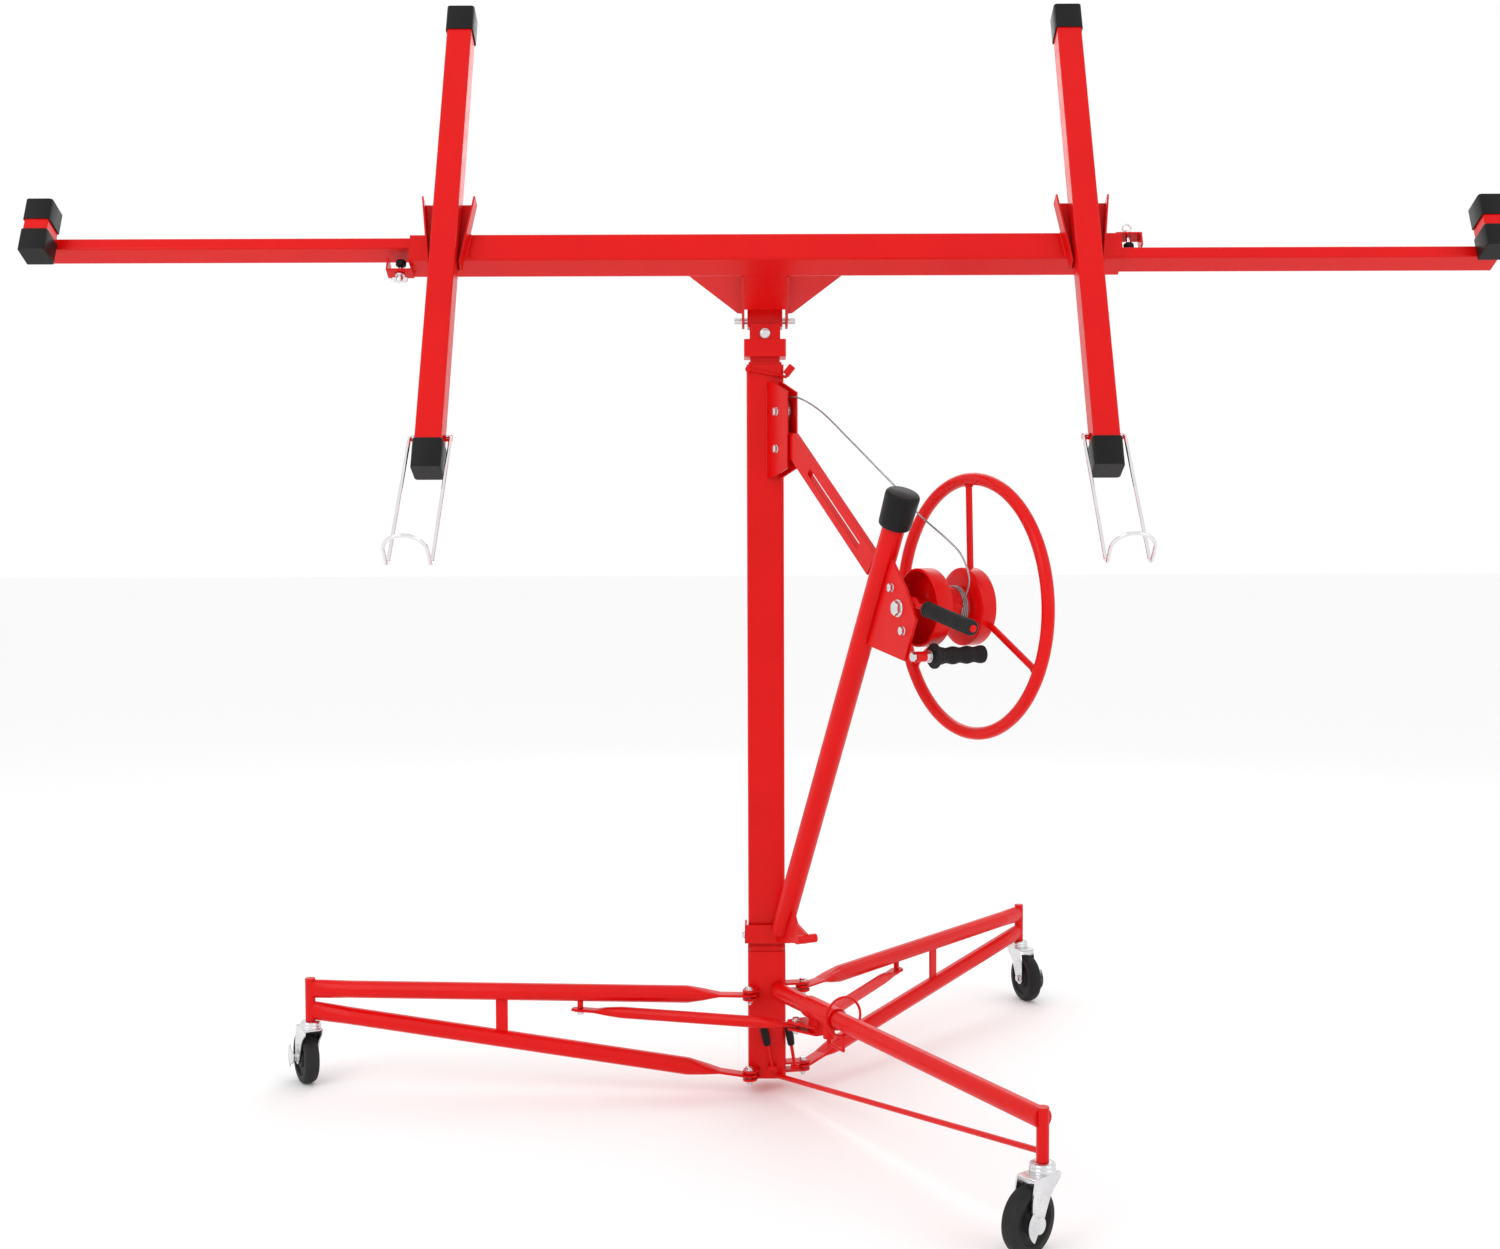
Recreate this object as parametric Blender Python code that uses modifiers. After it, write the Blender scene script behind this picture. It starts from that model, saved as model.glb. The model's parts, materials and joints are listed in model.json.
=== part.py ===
"""Drywall panel lift: folding tripod base, telescoping mast, wheel-driven winch and tilting cradle.

Metres, +Z up, standing on z = 0. +X runs along the cradle's main beam, +Y away from the
loading side. Every coordinate below is measured from the foot of the mast's axis, and one
empty carries the whole model so that its footprint is centred on the origin.
"""
import math

import bmesh
import bpy
from mathutils import Matrix, Vector

# ---------------------------------------------------------------- driving dimensions
MAST_Y = 0.082                      # mast axis, from the centre of the footprint
GAP = 0.0003                        # between touching pieces
# base
LEG_REACH = 0.856                   # mast axis to caster stem
LEFT_AZ = math.radians(180.0)
RIGHT_AZ = math.radians(48.3)
FRONT_AZ = math.radians(-62.7)      # fixed leg and winch share this vertical plane
LEG_TUBE_R = 0.0159
HEAD_R, HEAD_TOP, HEAD_BOTTOM = 0.0095, 0.207, 0.127
UPPER_Z, LOWER_Z, LOWER_HEAD_Z = 0.187, 0.037, 0.147
LEFT_PIVOT, RIGHT_PIVOT = (-0.032, -0.056), (0.068, 0.010)
SOCKET_HALF, SOCKET_BOTTOM, SOCKET_TOP = 0.035, 0.024, 0.262
POST_AT = 0.315                     # link post, from the leg's hinge
LINK_FLAT = 0.0028                  # half the thickness of a link's flattened end
LINK_Z, LINK_R = 0.155, 0.0105
COLLAR_R, COLLAR_LENGTH = 0.215, 0.100
COLLAR_PIN_AT, COLLAR_PIN_SIDE = 0.150, 0.020
# casters
WHEEL_R, WHEEL_HALF, TRAIL = 0.050, 0.0135, 0.034
LEFT_TRAIL_AZ = math.radians(119.0)
RIGHT_TRAIL_AZ = math.radians(-70.0)
FRONT_TRAIL_AZ = math.radians(-136.0)
# mast
MAST_HALF_X, MAST_HALF_Y, MAST_WALL = 0.034, 0.030, 0.0025
MAST_FOOT_Z, MAST_TOP_Z = 0.268, 1.346
STAGE_GAP = 0.001                   # running gap between mast stages
TILT_Z, SIDE_TILT_Z = 1.4285, 1.402
# cradle
TILT = math.radians(64.4)           # cradle plane from horizontal, at rest
BEAM_AT = 0.211                     # beam centre from the tilt pin
BEAM_LENGTH, BEAM_ARM, BEAM_NORMAL, BEAM_WALL = 1.228, 0.052, 0.056, 0.0025
OUTRIGGER_ARM, OUTRIGGER_NORMAL, OUTRIGGER_SHIFT = 0.0215, 0.046, 0.0118
CRADLE_TIP = 1.268                  # outer face of an end cap
ARM_X, ARM_HALF = 0.547, 0.022
ARM_UP, ARM_DOWN = 0.484, 0.451
ARM_CAP, CAP_WALL = 0.052, 0.0025
# winch, in the plane of the fixed leg: distance from mast axis and height
WINCH_TUBE = ((0.0594, 0.305), (0.4747, 1.0951))
WINCH_TUBE_R = 0.019
AXLE_AT = (0.466, 0.915)
WHEEL_RING_R, WHEEL_RING_TUBE, WHEEL_SIDE = 0.211, 0.0105, 0.140
CABLE_R = 0.0016

FRONT = Vector((math.cos(FRONT_AZ), math.sin(FRONT_AZ), 0))
SIDE = Vector((-math.sin(FRONT_AZ), math.cos(FRONT_AZ), 0))
UP = Vector((0, 0, 1))
X = Vector((1, 0, 0))
NORMAL = Vector((0, -math.sin(TILT), math.cos(TILT)))      # towards the panel
ALONG = Vector((0, math.cos(TILT), math.sin(TILT)))        # up a cross arm
TILT_PIVOT = Vector((0, 0, TILT_Z))

# ---------------------------------------------------------------- scene and materials
for old in list(bpy.data.objects):
    bpy.data.objects.remove(old, do_unlink=True)

LIFT = bpy.data.collections.new("drywall_lift")
CUTTERS = bpy.data.collections.new("cutters")
bpy.context.scene.collection.children.link(LIFT)
bpy.context.scene.collection.children.link(CUTTERS)
CARRIER = bpy.data.objects.new("mast_centre", None)
CARRIER.location = (0, MAST_Y, 0)
LIFT.objects.link(CARRIER)


def material(name, colour, roughness, metallic):
    """A plain Principled finish."""
    made = bpy.data.materials.new(name)
    made.use_nodes = True
    shader = made.node_tree.nodes["Principled BSDF"]
    shader.inputs["Base Color"].default_value = (*colour, 1)
    shader.inputs["Roughness"].default_value = roughness
    shader.inputs["Metallic"].default_value = metallic
    return made


RED = ("red_enamel", (0.72, 0.005, 0.003), 0.3, 0.0)
BLACK = ("black_plastic", (0.012, 0.011, 0.011), 0.45, 0.0)
RUBBER = ("black_rubber", (0.015, 0.015, 0.016), 0.6, 0.0)
ZINC = ("zinc_plate", (0.72, 0.73, 0.75), 0.28, 1.0)
CHROME = ("bright_wire", (0.8, 0.8, 0.82), 0.15, 1.0)
ROPE = ("wire_rope", (0.35, 0.36, 0.37), 0.4, 1.0)


# ---------------------------------------------------------------- making shapes
def keep(mesh_maker, matrix=None):
    """A loose shape from a bmesh maker, with its place in its mesh."""
    work = bmesh.new()
    mesh_maker(work)
    if matrix is not None:
        bmesh.ops.transform(work, matrix=matrix, verts=work.verts)
    mesh = bpy.data.meshes.new("shape")
    work.to_mesh(mesh)
    work.free()
    return bpy.data.objects.new("shape", mesh)


def frame(at, x_axis, y_axis):
    """Matrix that puts local X and Y along two perpendicular directions, at a point."""
    x_axis, y_axis = Vector(x_axis).normalized(), Vector(y_axis).normalized()
    z_axis = x_axis.cross(y_axis)
    turned = Matrix((x_axis, y_axis, z_axis)).transposed().to_4x4()
    return Matrix.Translation(Vector(at)) @ turned


def block(size, at, x_axis=(1, 0, 0), y_axis=(0, 1, 0)):
    """A box of three sizes, centred on a point."""
    scaled = frame(at, x_axis, y_axis) @ Matrix.Diagonal((*size, 1))
    return keep(lambda work: bmesh.ops.create_cube(work, size=1), scaled)


def rod(start, end, radius, sides=16, end_radius=None):
    """A round bar between two points, tapering when it is given a second radius."""
    start, end = Vector(start), Vector(end)
    run = end - start
    turn = run.to_track_quat("Z", "Y").to_matrix().to_4x4()
    matrix = Matrix.Translation((start + end) / 2) @ turn
    tip = radius if end_radius is None else end_radius
    return keep(lambda work: bmesh.ops.create_cone(
        work, cap_ends=True, segments=sides, radius1=radius, radius2=tip, depth=run.length), matrix)


def ring(at, axis, radius, tube, around=32, section=8):
    """A torus about an axis."""
    bpy.ops.mesh.primitive_torus_add(major_radius=radius, minor_radius=tube,
                                     major_segments=around, minor_segments=section)
    made = bpy.context.object
    made.users_collection[0].objects.unlink(made)
    turn = Vector(axis).to_track_quat("Z", "Y").to_matrix().to_4x4()
    made.data.transform(Matrix.Translation(Vector(at)) @ turn)
    return made


def from_curve(curve):
    """The mesh of a curve object, its caps welded, in place of the curve."""
    holder = bpy.data.objects.new("curve", curve)
    LIFT.objects.link(holder)
    bpy.context.view_layer.update()
    graph = bpy.context.evaluated_depsgraph_get()
    mesh = bpy.data.meshes.new_from_object(holder.evaluated_get(graph))
    made = bpy.data.objects.new("shape", mesh)
    made.matrix_world = holder.matrix_world
    bpy.data.objects.remove(holder)
    work = bmesh.new()
    work.from_mesh(mesh)
    bmesh.ops.remove_doubles(work, verts=work.verts, dist=0.00002)
    bmesh.ops.recalc_face_normals(work, faces=work.faces)
    work.to_mesh(mesh)
    work.free()
    return made


def wire(points, radius, closed=False, sides=1):
    """A bent wire or hose along hand-set points."""
    curve = bpy.data.curves.new("wire", "CURVE")
    curve.dimensions = "3D"
    curve.bevel_depth = radius
    curve.bevel_resolution = sides
    curve.use_fill_caps = not closed
    spline = curve.splines.new("POLY")
    spline.points.add(len(points) - 1)
    for knot, point in zip(spline.points, points):
        knot.co = (*point, 1)
    spline.use_cyclic_u = closed
    return from_curve(curve)


def plate(outline, thickness, matrix):
    """A flat sheet from a 2D outline, centred on the matrix's XY plane."""
    curve = bpy.data.curves.new("plate", "CURVE")
    curve.dimensions = "2D"
    curve.fill_mode = "BOTH"
    curve.extrude = thickness / 2
    spline = curve.splines.new("POLY")
    spline.points.add(len(outline) - 1)
    for knot, point in zip(spline.points, outline):
        knot.co = (*point, 0, 1)
    spline.use_cyclic_u = True
    made = from_curve(curve)
    made.data.transform(matrix)
    return made


def loft(stations, sides=12):
    """A tube of changing section: each station is (centre, half width, half height, squareness).

    The width lies level, the height stands across the run, and the section is a superellipse."""
    work = bmesh.new()
    centres = [Vector(station[0]) for station in stations]
    run = (centres[-1] - centres[0]).normalized()
    level = UP.cross(run).normalized()
    rise = run.cross(level)
    rings = []
    for centre, (_, half_width, half_height, squareness) in zip(centres, stations):
        circle = []
        for step in range(sides):
            turn = 2 * math.pi * (step + 0.5) / sides
            across = math.copysign(abs(math.cos(turn)) ** squareness, math.cos(turn))
            over = math.copysign(abs(math.sin(turn)) ** squareness, math.sin(turn))
            point = centre + level * across * half_width + rise * over * half_height
            circle.append(work.verts.new(point))
        rings.append(circle)
    for low, high in zip(rings, rings[1:]):
        for step in range(sides):
            after = (step + 1) % sides
            work.faces.new((low[step], low[after], high[after], high[step]))
    work.faces.new(rings[0][::-1])
    work.faces.new(rings[-1])
    bmesh.ops.recalc_face_normals(work, faces=work.faces)
    mesh = bpy.data.meshes.new("loft")
    work.to_mesh(mesh)
    work.free()
    return bpy.data.objects.new("shape", mesh)


def turned(profile, at, axis, around=32):
    """A closed profile of (radius, height) turned about an axis."""
    mesh = bpy.data.meshes.new("profile")
    points = [(radius, 0, height) for radius, height in profile]
    edges = [(step, (step + 1) % len(points)) for step in range(len(points))]
    mesh.from_pydata(points, edges, [])
    holder = bpy.data.objects.new("profile", mesh)
    LIFT.objects.link(holder)
    screw = holder.modifiers.new("turn", "SCREW")
    screw.steps = screw.render_steps = around
    screw.use_merge_vertices = True
    screw.merge_threshold = 0.00001
    bpy.context.view_layer.update()
    graph = bpy.context.evaluated_depsgraph_get()
    made = bpy.data.meshes.new_from_object(holder.evaluated_get(graph))
    bpy.data.objects.remove(holder)
    work = bmesh.new()
    work.from_mesh(made)
    bmesh.ops.remove_doubles(work, verts=work.verts, dist=0.00001)
    bmesh.ops.recalc_face_normals(work, faces=work.faces)
    turn = Vector(axis).to_track_quat("Z", "Y").to_matrix().to_4x4()
    bmesh.ops.transform(work, matrix=Matrix.Translation(Vector(at)) @ turn, verts=work.verts)
    work.to_mesh(made)
    work.free()
    return bpy.data.objects.new("shape", made)


def hide_tool(shape):
    """Keep a shape as a tool of a Boolean, out of the model."""
    shape.name = "tool"
    CUTTERS.objects.link(shape)
    shape.parent = CARRIER
    shape.hide_render = True
    shape.display_type = "WIRE"


def piece(name, finish, shapes, cuts=(), pivot=None):
    """One node: shapes welded together, less the cuts, its origin on its pivot."""
    body = shapes[0]
    body.name = name
    body.data.name = name
    LIFT.objects.link(body)
    body.parent = CARRIER
    for operation, others in (("UNION", shapes[1:]), ("DIFFERENCE", cuts)):
        for other in others:
            hide_tool(other)
            step = body.modifiers.new(operation.lower(), "BOOLEAN")
            step.operation = operation
            step.object = other
            step.solver = "EXACT"
    if pivot is not None:
        body.data.transform(Matrix.Translation(-Vector(pivot)))
        body.location = pivot
    label = finish[0]
    body.data.materials.clear()
    body.data.materials.append(bpy.data.materials.get(label) or material(*finish))
    body.data.shade_smooth()
    body.data.set_sharp_from_angle(angle=math.radians(35))
    return body


def tube(start, end, outer, inner, sides=16):
    """A bar and the longer bar that bores it."""
    start, end = Vector(start), Vector(end)
    over = (end - start).normalized() * 0.01
    return rod(start, end, outer, sides), rod(start - over, end + over, inner, sides)


def rounded(half_x, half_y, radius, steps=2):
    """Outline of a rectangle with round corners."""
    outline = []
    for quadrant, (sign_x, sign_y) in enumerate(((1, 1), (-1, 1), (-1, -1), (1, -1))):
        for step in range(steps + 1):
            turn = math.pi / 2 * (quadrant + step / steps)
            outline.append((sign_x * (half_x - radius) + radius * math.cos(turn),
                            sign_y * (half_y - radius) + radius * math.sin(turn)))
    return outline


def bar(outline, length, at, x_axis, y_axis):
    """A profile drawn in a plane and carried along its normal, centred on a point."""
    return plate(outline, length, frame(at, x_axis, y_axis))


def bolt(at, axis, length, radius=0.004, head=0.0065, head_height=0.005):
    """A hexagon bolt with its nut: the shank runs between the head and the nut."""
    at, axis = Vector(at), Vector(axis).normalized()
    half = axis * length / 2
    lift = axis * head_height
    return [rod(at - half, at + half, radius, 12),
            rod(at + half - lift * 0.02, at + half + lift, head, 6),
            rod(at - half - lift, at - half + lift * 0.02, head, 6)]


def in_winch(reach, height, side=0.0):
    """Point in the winch plane: distance from mast axis, height, and offset across it."""
    return FRONT * reach + UP * height + SIDE * side


def cradle(x, normal, along):
    """Point of the cradle: along the beam, from the tilt pin towards the panel, and up an arm."""
    return TILT_PIVOT + X * x + NORMAL * normal + ALONG * along


# ---------------------------------------------------------------- base
LEFT_HEAD = Vector((math.cos(LEFT_AZ), math.sin(LEFT_AZ), 0)) * LEG_REACH
RIGHT_HEAD = Vector((math.cos(RIGHT_AZ), math.sin(RIGHT_AZ), 0)) * LEG_REACH
FRONT_HEAD = FRONT * LEG_REACH
LUG_SIDE, LUG_THICK, LUG_SPACE = 0.026, 0.004, 0.0105
BOLT_HOLE = 0.0043


def hinge_lugs(pivot, height, inward):
    """Two flat lugs that hold a leg's flattened end, one above it and one below."""
    centre = Vector((*pivot, height))
    root = Vector((*inward, height))
    run = Vector((root.x - centre.x, root.y - centre.y, 0))
    middle, length = (centre + root) / 2, run.length
    lugs = []
    for side in (-1, 1):
        offset = UP * side * (LUG_SPACE / 2 + LUG_THICK / 2)
        across = UP.cross(run)
        lugs.append(block((length, LUG_SIDE, LUG_THICK), middle + offset, run, across))
        lugs.append(rod(centre + offset - UP * LUG_THICK / 2, centre + offset + UP * LUG_THICK / 2,
                        LUG_SIDE / 2, 12))
    return lugs, rod(centre - UP * 0.02, centre + UP * 0.02, BOLT_HOLE, 8)


socket_wall = 0.004
spigot_half = SOCKET_HALF - socket_wall - GAP
shapes = [bar(rounded(SOCKET_HALF, SOCKET_HALF, 0.006), SOCKET_TOP - SOCKET_BOTTOM,
              (0, 0, (SOCKET_TOP + SOCKET_BOTTOM) / 2), (1, 0, 0), (0, 1, 0))]
hollow_floor = SOCKET_BOTTOM + 0.006
cuts = [bar(rounded(SOCKET_HALF - socket_wall, SOCKET_HALF - socket_wall, 0.003), 0.30,
            (0, 0, hollow_floor + 0.15), (1, 0, 0), (0, 1, 0))]
for pivot, root in ((LEFT_PIVOT, (-0.026, -0.033)), (RIGHT_PIVOT, (0.033, 0.004))):
    for height in (UPPER_Z, LOWER_Z):
        lugs, hole = hinge_lugs(pivot, height, root)
        shapes += lugs
        cuts.append(hole)
piece("mast_socket", RED, shapes, cuts)

leg_start = 0.0470
front_leg_z = UPPER_Z + 0.003
shapes = [rod(in_winch(leg_start, front_leg_z), in_winch(LEG_REACH, front_leg_z), LEG_TUBE_R, 20),
          rod(in_winch(LEG_REACH, HEAD_BOTTOM), in_winch(LEG_REACH, HEAD_TOP), HEAD_R, 16),
          rod(in_winch(0.0465, 0.031), in_winch(LEG_REACH, 0.141), 0.0048, 10)]
pin_at = COLLAR_R + 0.020
cuts = [rod(in_winch(LEG_REACH, HEAD_BOTTOM - 0.01), in_winch(LEG_REACH, HEAD_BOTTOM + 0.05), 0.0063, 12),
        rod(in_winch(pin_at, 0.15), in_winch(pin_at, front_leg_z), 0.0048, 12)]
piece("fixed_leg", RED, shapes, cuts)


def folding_leg(name, pivot, head):
    """Welded triangle: two tubes flattened at the hinge, a caster head, a web and a link post."""
    run = Vector((head.x - pivot[0], head.y - pivot[1], 0))
    length = run.length
    way = run / length
    start = Vector((*pivot, 0))
    flat = (0.0145, 0.0030, 0.6)
    round_ = (LEG_TUBE_R, LEG_TUBE_R, 1.0)

    def leg_tube(low, high):
        """A tube from hinge height to head height, flattened over its last stretch."""
        def at(distance):
            """Point of the tube's centre line at a distance from the hinge."""
            return start + way * distance + UP * (low + (high - low) * distance / length)
        level = [(start - way * 0.013 + UP * low, 0.006, 0.0030, 0.6),
                 (start - way * 0.008 + UP * low, 0.0115, 0.0030, 0.6)]
        stations = [(at(0.0), *flat), (at(0.055), *flat), (at(0.082), 0.0175, 0.0100, 0.9),
                    (at(0.115), *round_), (at(length - 0.075), *round_),
                    (at(length - 0.035), 0.0125, 0.0170, 1.0), (at(length), 0.0085, 0.0175, 1.0)]
        return loft(level + stations)

    web_at = 0.56 * length
    web_low = LOWER_Z + (LOWER_HEAD_Z - LOWER_Z) * 0.56
    post = start + way * POST_AT
    shapes = [leg_tube(UPPER_Z, UPPER_Z), leg_tube(LOWER_Z, LOWER_HEAD_Z),
              rod(head + UP * HEAD_BOTTOM, head + UP * HEAD_TOP, HEAD_R, 16),
              block((0.022, 0.004, UPPER_Z - web_low), start + way * web_at + UP * (UPPER_Z + web_low) / 2,
                    way, UP.cross(way)),
              rod(post + UP * (LINK_Z + LINK_FLAT + 2 * GAP), post + UP * UPPER_Z, 0.0055, 12)]
    cuts = [rod(start + UP * 0.01, start + UP * 0.22, BOLT_HOLE, 12),
            rod(head + UP * (HEAD_BOTTOM - 0.01), head + UP * (HEAD_BOTTOM + 0.05), 0.0063, 12)]
    piece(name, RED, shapes, cuts, pivot=start)
    piece(name.replace("leg", "hinge_bolt"), ZINC, bolt(start + UP * UPPER_Z, UP, 0.0205))
    return start, way


left_start, left_way = folding_leg("left_leg", LEFT_PIVOT, LEFT_HEAD)
right_start, right_way = folding_leg("right_leg", RIGHT_PIVOT, RIGHT_HEAD)

# collar that slides along the fixed leg, with the ears that pull the two links
ear_gap, ear_thick = 0.0085, 0.0035
sleeve_outer, sleeve_inner = LEG_TUBE_R + 0.0035, LEG_TUBE_R + 0.0006
outer, bore = tube(in_winch(COLLAR_R - COLLAR_LENGTH / 2, front_leg_z),
                   in_winch(COLLAR_R + COLLAR_LENGTH / 2, front_leg_z), sleeve_outer, sleeve_inner, 20)
shapes, cuts = [outer], [bore]
hanger_top = front_leg_z - LEG_TUBE_R - 0.001
hanger_low = LINK_Z - ear_gap / 2 - ear_thick
shapes.append(block((0.030, 0.020, hanger_top - hanger_low),
                    in_winch(COLLAR_R - 0.022, (hanger_top + hanger_low) / 2), FRONT, SIDE))
for level in (LINK_Z - ear_gap / 2 - ear_thick / 2, LINK_Z + ear_gap / 2 + ear_thick / 2):
    outline = [(-0.014, -0.030), (0.0, -0.036), (0.056, -0.012),
               (0.056, 0.012), (0.0, 0.036), (-0.014, 0.030)]
    shapes.append(plate(outline, ear_thick, frame(in_winch(COLLAR_PIN_AT, level), FRONT, SIDE)))
for side in (-1, 1):
    cuts.append(rod(in_winch(COLLAR_PIN_AT, LINK_Z - 0.02, side * COLLAR_PIN_SIDE),
                    in_winch(COLLAR_PIN_AT, LINK_Z + 0.012, side * COLLAR_PIN_SIDE), BOLT_HOLE, 12))
cuts.append(rod(in_winch(pin_at, 0.12), in_winch(pin_at, front_leg_z), 0.0050, 12))
housing_low = 0.150
shapes.append(rod(in_winch(pin_at, housing_low), in_winch(pin_at, hanger_top + 0.002), 0.0105, 16))
piece("lock_collar", RED, shapes, cuts)

lock_top = front_leg_z - LEG_TUBE_R - 0.0006
lock_low, bar_z, bar_radius = 0.137, 0.140, 0.0028
loop_at = pin_at + 0.050
loop_radius = 0.034
loop_z = front_leg_z + 0.010
shapes = [ring(in_winch(loop_at, loop_z), FRONT, loop_radius, 0.0025, 24, 6),
          rod(in_winch(pin_at, lock_low), in_winch(pin_at, lock_top), 0.0042, 12),
          rod(in_winch(pin_at - 0.004, bar_z), in_winch(loop_at + 0.001, bar_z), bar_radius, 10),
          rod(in_winch(loop_at, bar_z), in_winch(loop_at, loop_z - loop_radius), bar_radius, 10)]
piece("collar_lock_pin", RED, shapes)


def brace_link(name, pin, post):
    """Tube link with both ends flattened; its outer end lies under the leg's post."""
    way = (post - pin).normalized()
    flat = (0.0110, LINK_FLAT, 0.6)
    stations = [(pin - way * 0.010, 0.006, LINK_FLAT, 0.6),
                (pin, *flat),
                (pin + way * 0.022, *flat),
                (pin + way * 0.048, LINK_R + 0.001, LINK_R * 0.8, 0.9),
                (pin + way * 0.070, LINK_R, LINK_R, 1.0),
                (post - way * 0.080, LINK_R, LINK_R, 1.0),
                (post - way * 0.050, LINK_R + 0.001, LINK_R * 0.7, 0.9),
                (post - way * 0.030, 0.0125, LINK_FLAT, 0.6),
                (post + way * 0.004, 0.0135, LINK_FLAT, 0.6),
                (post + way * 0.015, 0.008, LINK_FLAT, 0.6)]
    cuts = [rod(end - UP * 0.02, end + UP * 0.02, BOLT_HOLE, 12) for end in (pin, post)]
    piece(name, RED, [loft(stations)], cuts, pivot=pin)


for name, side, start, way in (("left", -1, left_start, left_way), ("right", 1, right_start, right_way)):
    pin = in_winch(COLLAR_PIN_AT, LINK_Z, side * COLLAR_PIN_SIDE)
    post = start + way * POST_AT + UP * LINK_Z
    brace_link(f"{name}_link", pin, post)

# casters: fork with its swivel stem, wheel and brake pedal, trailing their stems
FORK_TOP = HEAD_BOTTOM - GAP
FORK_PLATE = 0.0025


def caster(name, head, trail_az):
    """Swivel caster under a leg's head."""
    back = Vector((math.cos(trail_az), math.sin(trail_az), 0))
    across = UP.cross(back)
    axle = head + back * TRAIL + UP * WHEEL_R
    side_at = WHEEL_HALF + 0.0030
    shapes = [rod(head + UP * (FORK_TOP - 0.014), head + UP * FORK_TOP, 0.0190, 20, 0.0150),
              rod(head + UP * (FORK_TOP - 0.002), head + UP * (HEAD_BOTTOM + 0.040), 0.0057, 12),
              block((0.058, 2 * side_at + FORK_PLATE, 0.003), head + back * 0.010 + UP * (FORK_TOP - 0.0155),
                    back, across)]
    cheek = [(-0.020, 0.062), (0.038, 0.062), (0.046, 0.030), (0.046, -0.004), (0.040, -0.010),
             (0.028, -0.010), (0.022, -0.002), (0.004, 0.034), (-0.014, 0.048)]
    for side in (-1, 1):
        cheek_at = head + UP * WHEEL_R + across * side * side_at
        shapes.append(plate(cheek, FORK_PLATE, frame(cheek_at, back, UP)))
    shapes.append(rod(axle - across * (side_at + 0.007), axle + across * (side_at + 0.007), 0.0050, 12))
    piece(f"{name}_caster_fork", ZINC, shapes, pivot=head)
    web = 0.009
    profile = [(0.0056, -WHEEL_HALF), (0.018, -WHEEL_HALF), (0.020, -web), (0.034, -web),
               (0.036, -WHEEL_HALF), (0.045, -WHEEL_HALF), (WHEEL_R, -0.007), (WHEEL_R, 0.007),
               (0.045, WHEEL_HALF), (0.036, WHEEL_HALF), (0.034, web), (0.020, web),
               (0.018, WHEEL_HALF), (0.0056, WHEEL_HALF)]
    piece(f"{name}_caster_wheel", RUBBER, [turned(profile, axle, across, 20)], pivot=axle)
    pedal = []
    for step in range(9):
        turn = math.radians(-55 + 110 * step / 8)
        pedal.append((0.026 * math.cos(turn), 0.026 * math.sin(turn)))
    for step in range(9):
        turn = math.radians(55 - 110 * step / 8)
        pedal.append((0.010 * math.cos(turn) - 0.002, 0.010 * math.sin(turn)))
    pedal_at = axle + across * (side_at + 0.0095)
    shapes = [plate(pedal, 0.002, frame(pedal_at + back * 0.008, back, UP)),
              rod(pedal_at - across * 0.0018, pedal_at + across * 0.0018, 0.0175, 16)]
    cuts = [rod(pedal_at - across * 0.01, pedal_at + across * 0.01, 0.0054, 12)]
    piece(f"{name}_caster_brake", ZINC, shapes, cuts, pivot=axle)


caster("left", LEFT_HEAD, LEFT_TRAIL_AZ)
caster("right", RIGHT_HEAD, RIGHT_TRAIL_AZ)
caster("front", FRONT_HEAD, FRONT_TRAIL_AZ)


# two pedals that lock the folding legs' lower hinges to the socket
def latch_pedal(name, foot, top):
    """A short bent rod with a grip, pivoting on the socket's foot."""
    foot, top = Vector(foot), Vector(top)
    way = (top - foot).normalized()
    grip = top - way * 0.034
    shapes = [rod(foot, top, 0.0032, 10), rod(foot + X * 0.008, foot - X * 0.008, 0.0058, 12),
              rod(grip, top + way * 0.003, 0.0075, 14)]
    piece(name, BLACK, shapes, pivot=foot)


latch_pedal("left_latch_lever", (0.010, -0.0440, 0.046), (-0.006, -0.0500, 0.124))
latch_pedal("right_latch_lever", (0.052, -0.0300, 0.044), (0.040, -0.0420, 0.122))


# ---------------------------------------------------------------- mast
def channel(half_x, half_y, wall, low, high, lip):
    """A roll-formed channel with its open side at the back, as outline and length."""
    middle = (low + high) / 2
    shapes = [bar(rounded(half_x, half_y, 0.005), high - low, (0, 0, middle), (1, 0, 0), (0, 1, 0))]
    cuts = [bar(rounded(half_x - wall, half_y - wall, 0.003), high - low + 0.02, (0, 0, middle),
                (1, 0, 0), (0, 1, 0)),
            block((2 * (half_x - lip), 0.02, high - low + 0.02), (0, half_y, middle))]
    return shapes, cuts


mast_lip = 0.013
shapes, cuts = channel(MAST_HALF_X, MAST_HALF_Y, MAST_WALL, MAST_FOOT_Z, MAST_TOP_Z, mast_lip)
foot_plate = 0.006
shapes.append(block((2 * MAST_HALF_X + 0.001, 2 * MAST_HALF_Y + 0.001, foot_plate),
                    (0, 0, MAST_FOOT_Z + foot_plate / 2)))
cuts[0] = bar(rounded(MAST_HALF_X - MAST_WALL, MAST_HALF_Y - MAST_WALL, 0.003), 1.2,
              (0, 0, MAST_FOOT_Z + foot_plate + 0.6), (1, 0, 0), (0, 1, 0))
cuts[1] = block((2 * (MAST_HALF_X - mast_lip), 0.02, 1.2),
                (0, MAST_HALF_Y, MAST_FOOT_Z + foot_plate + 0.6))
spigot_low = 0.110
shapes.append(bar(rounded(spigot_half, spigot_half, 0.004), MAST_FOOT_Z - spigot_low,
                  (0, 0, (MAST_FOOT_Z + spigot_low + 0.0002) / 2), (1, 0, 0), (0, 1, 0)))
spigot_bore = 0.052
cuts.append(block((spigot_bore, spigot_bore, MAST_FOOT_Z - spigot_low),
                  (0, 0, (MAST_FOOT_Z + spigot_low) / 2 - 0.004)))
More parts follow.
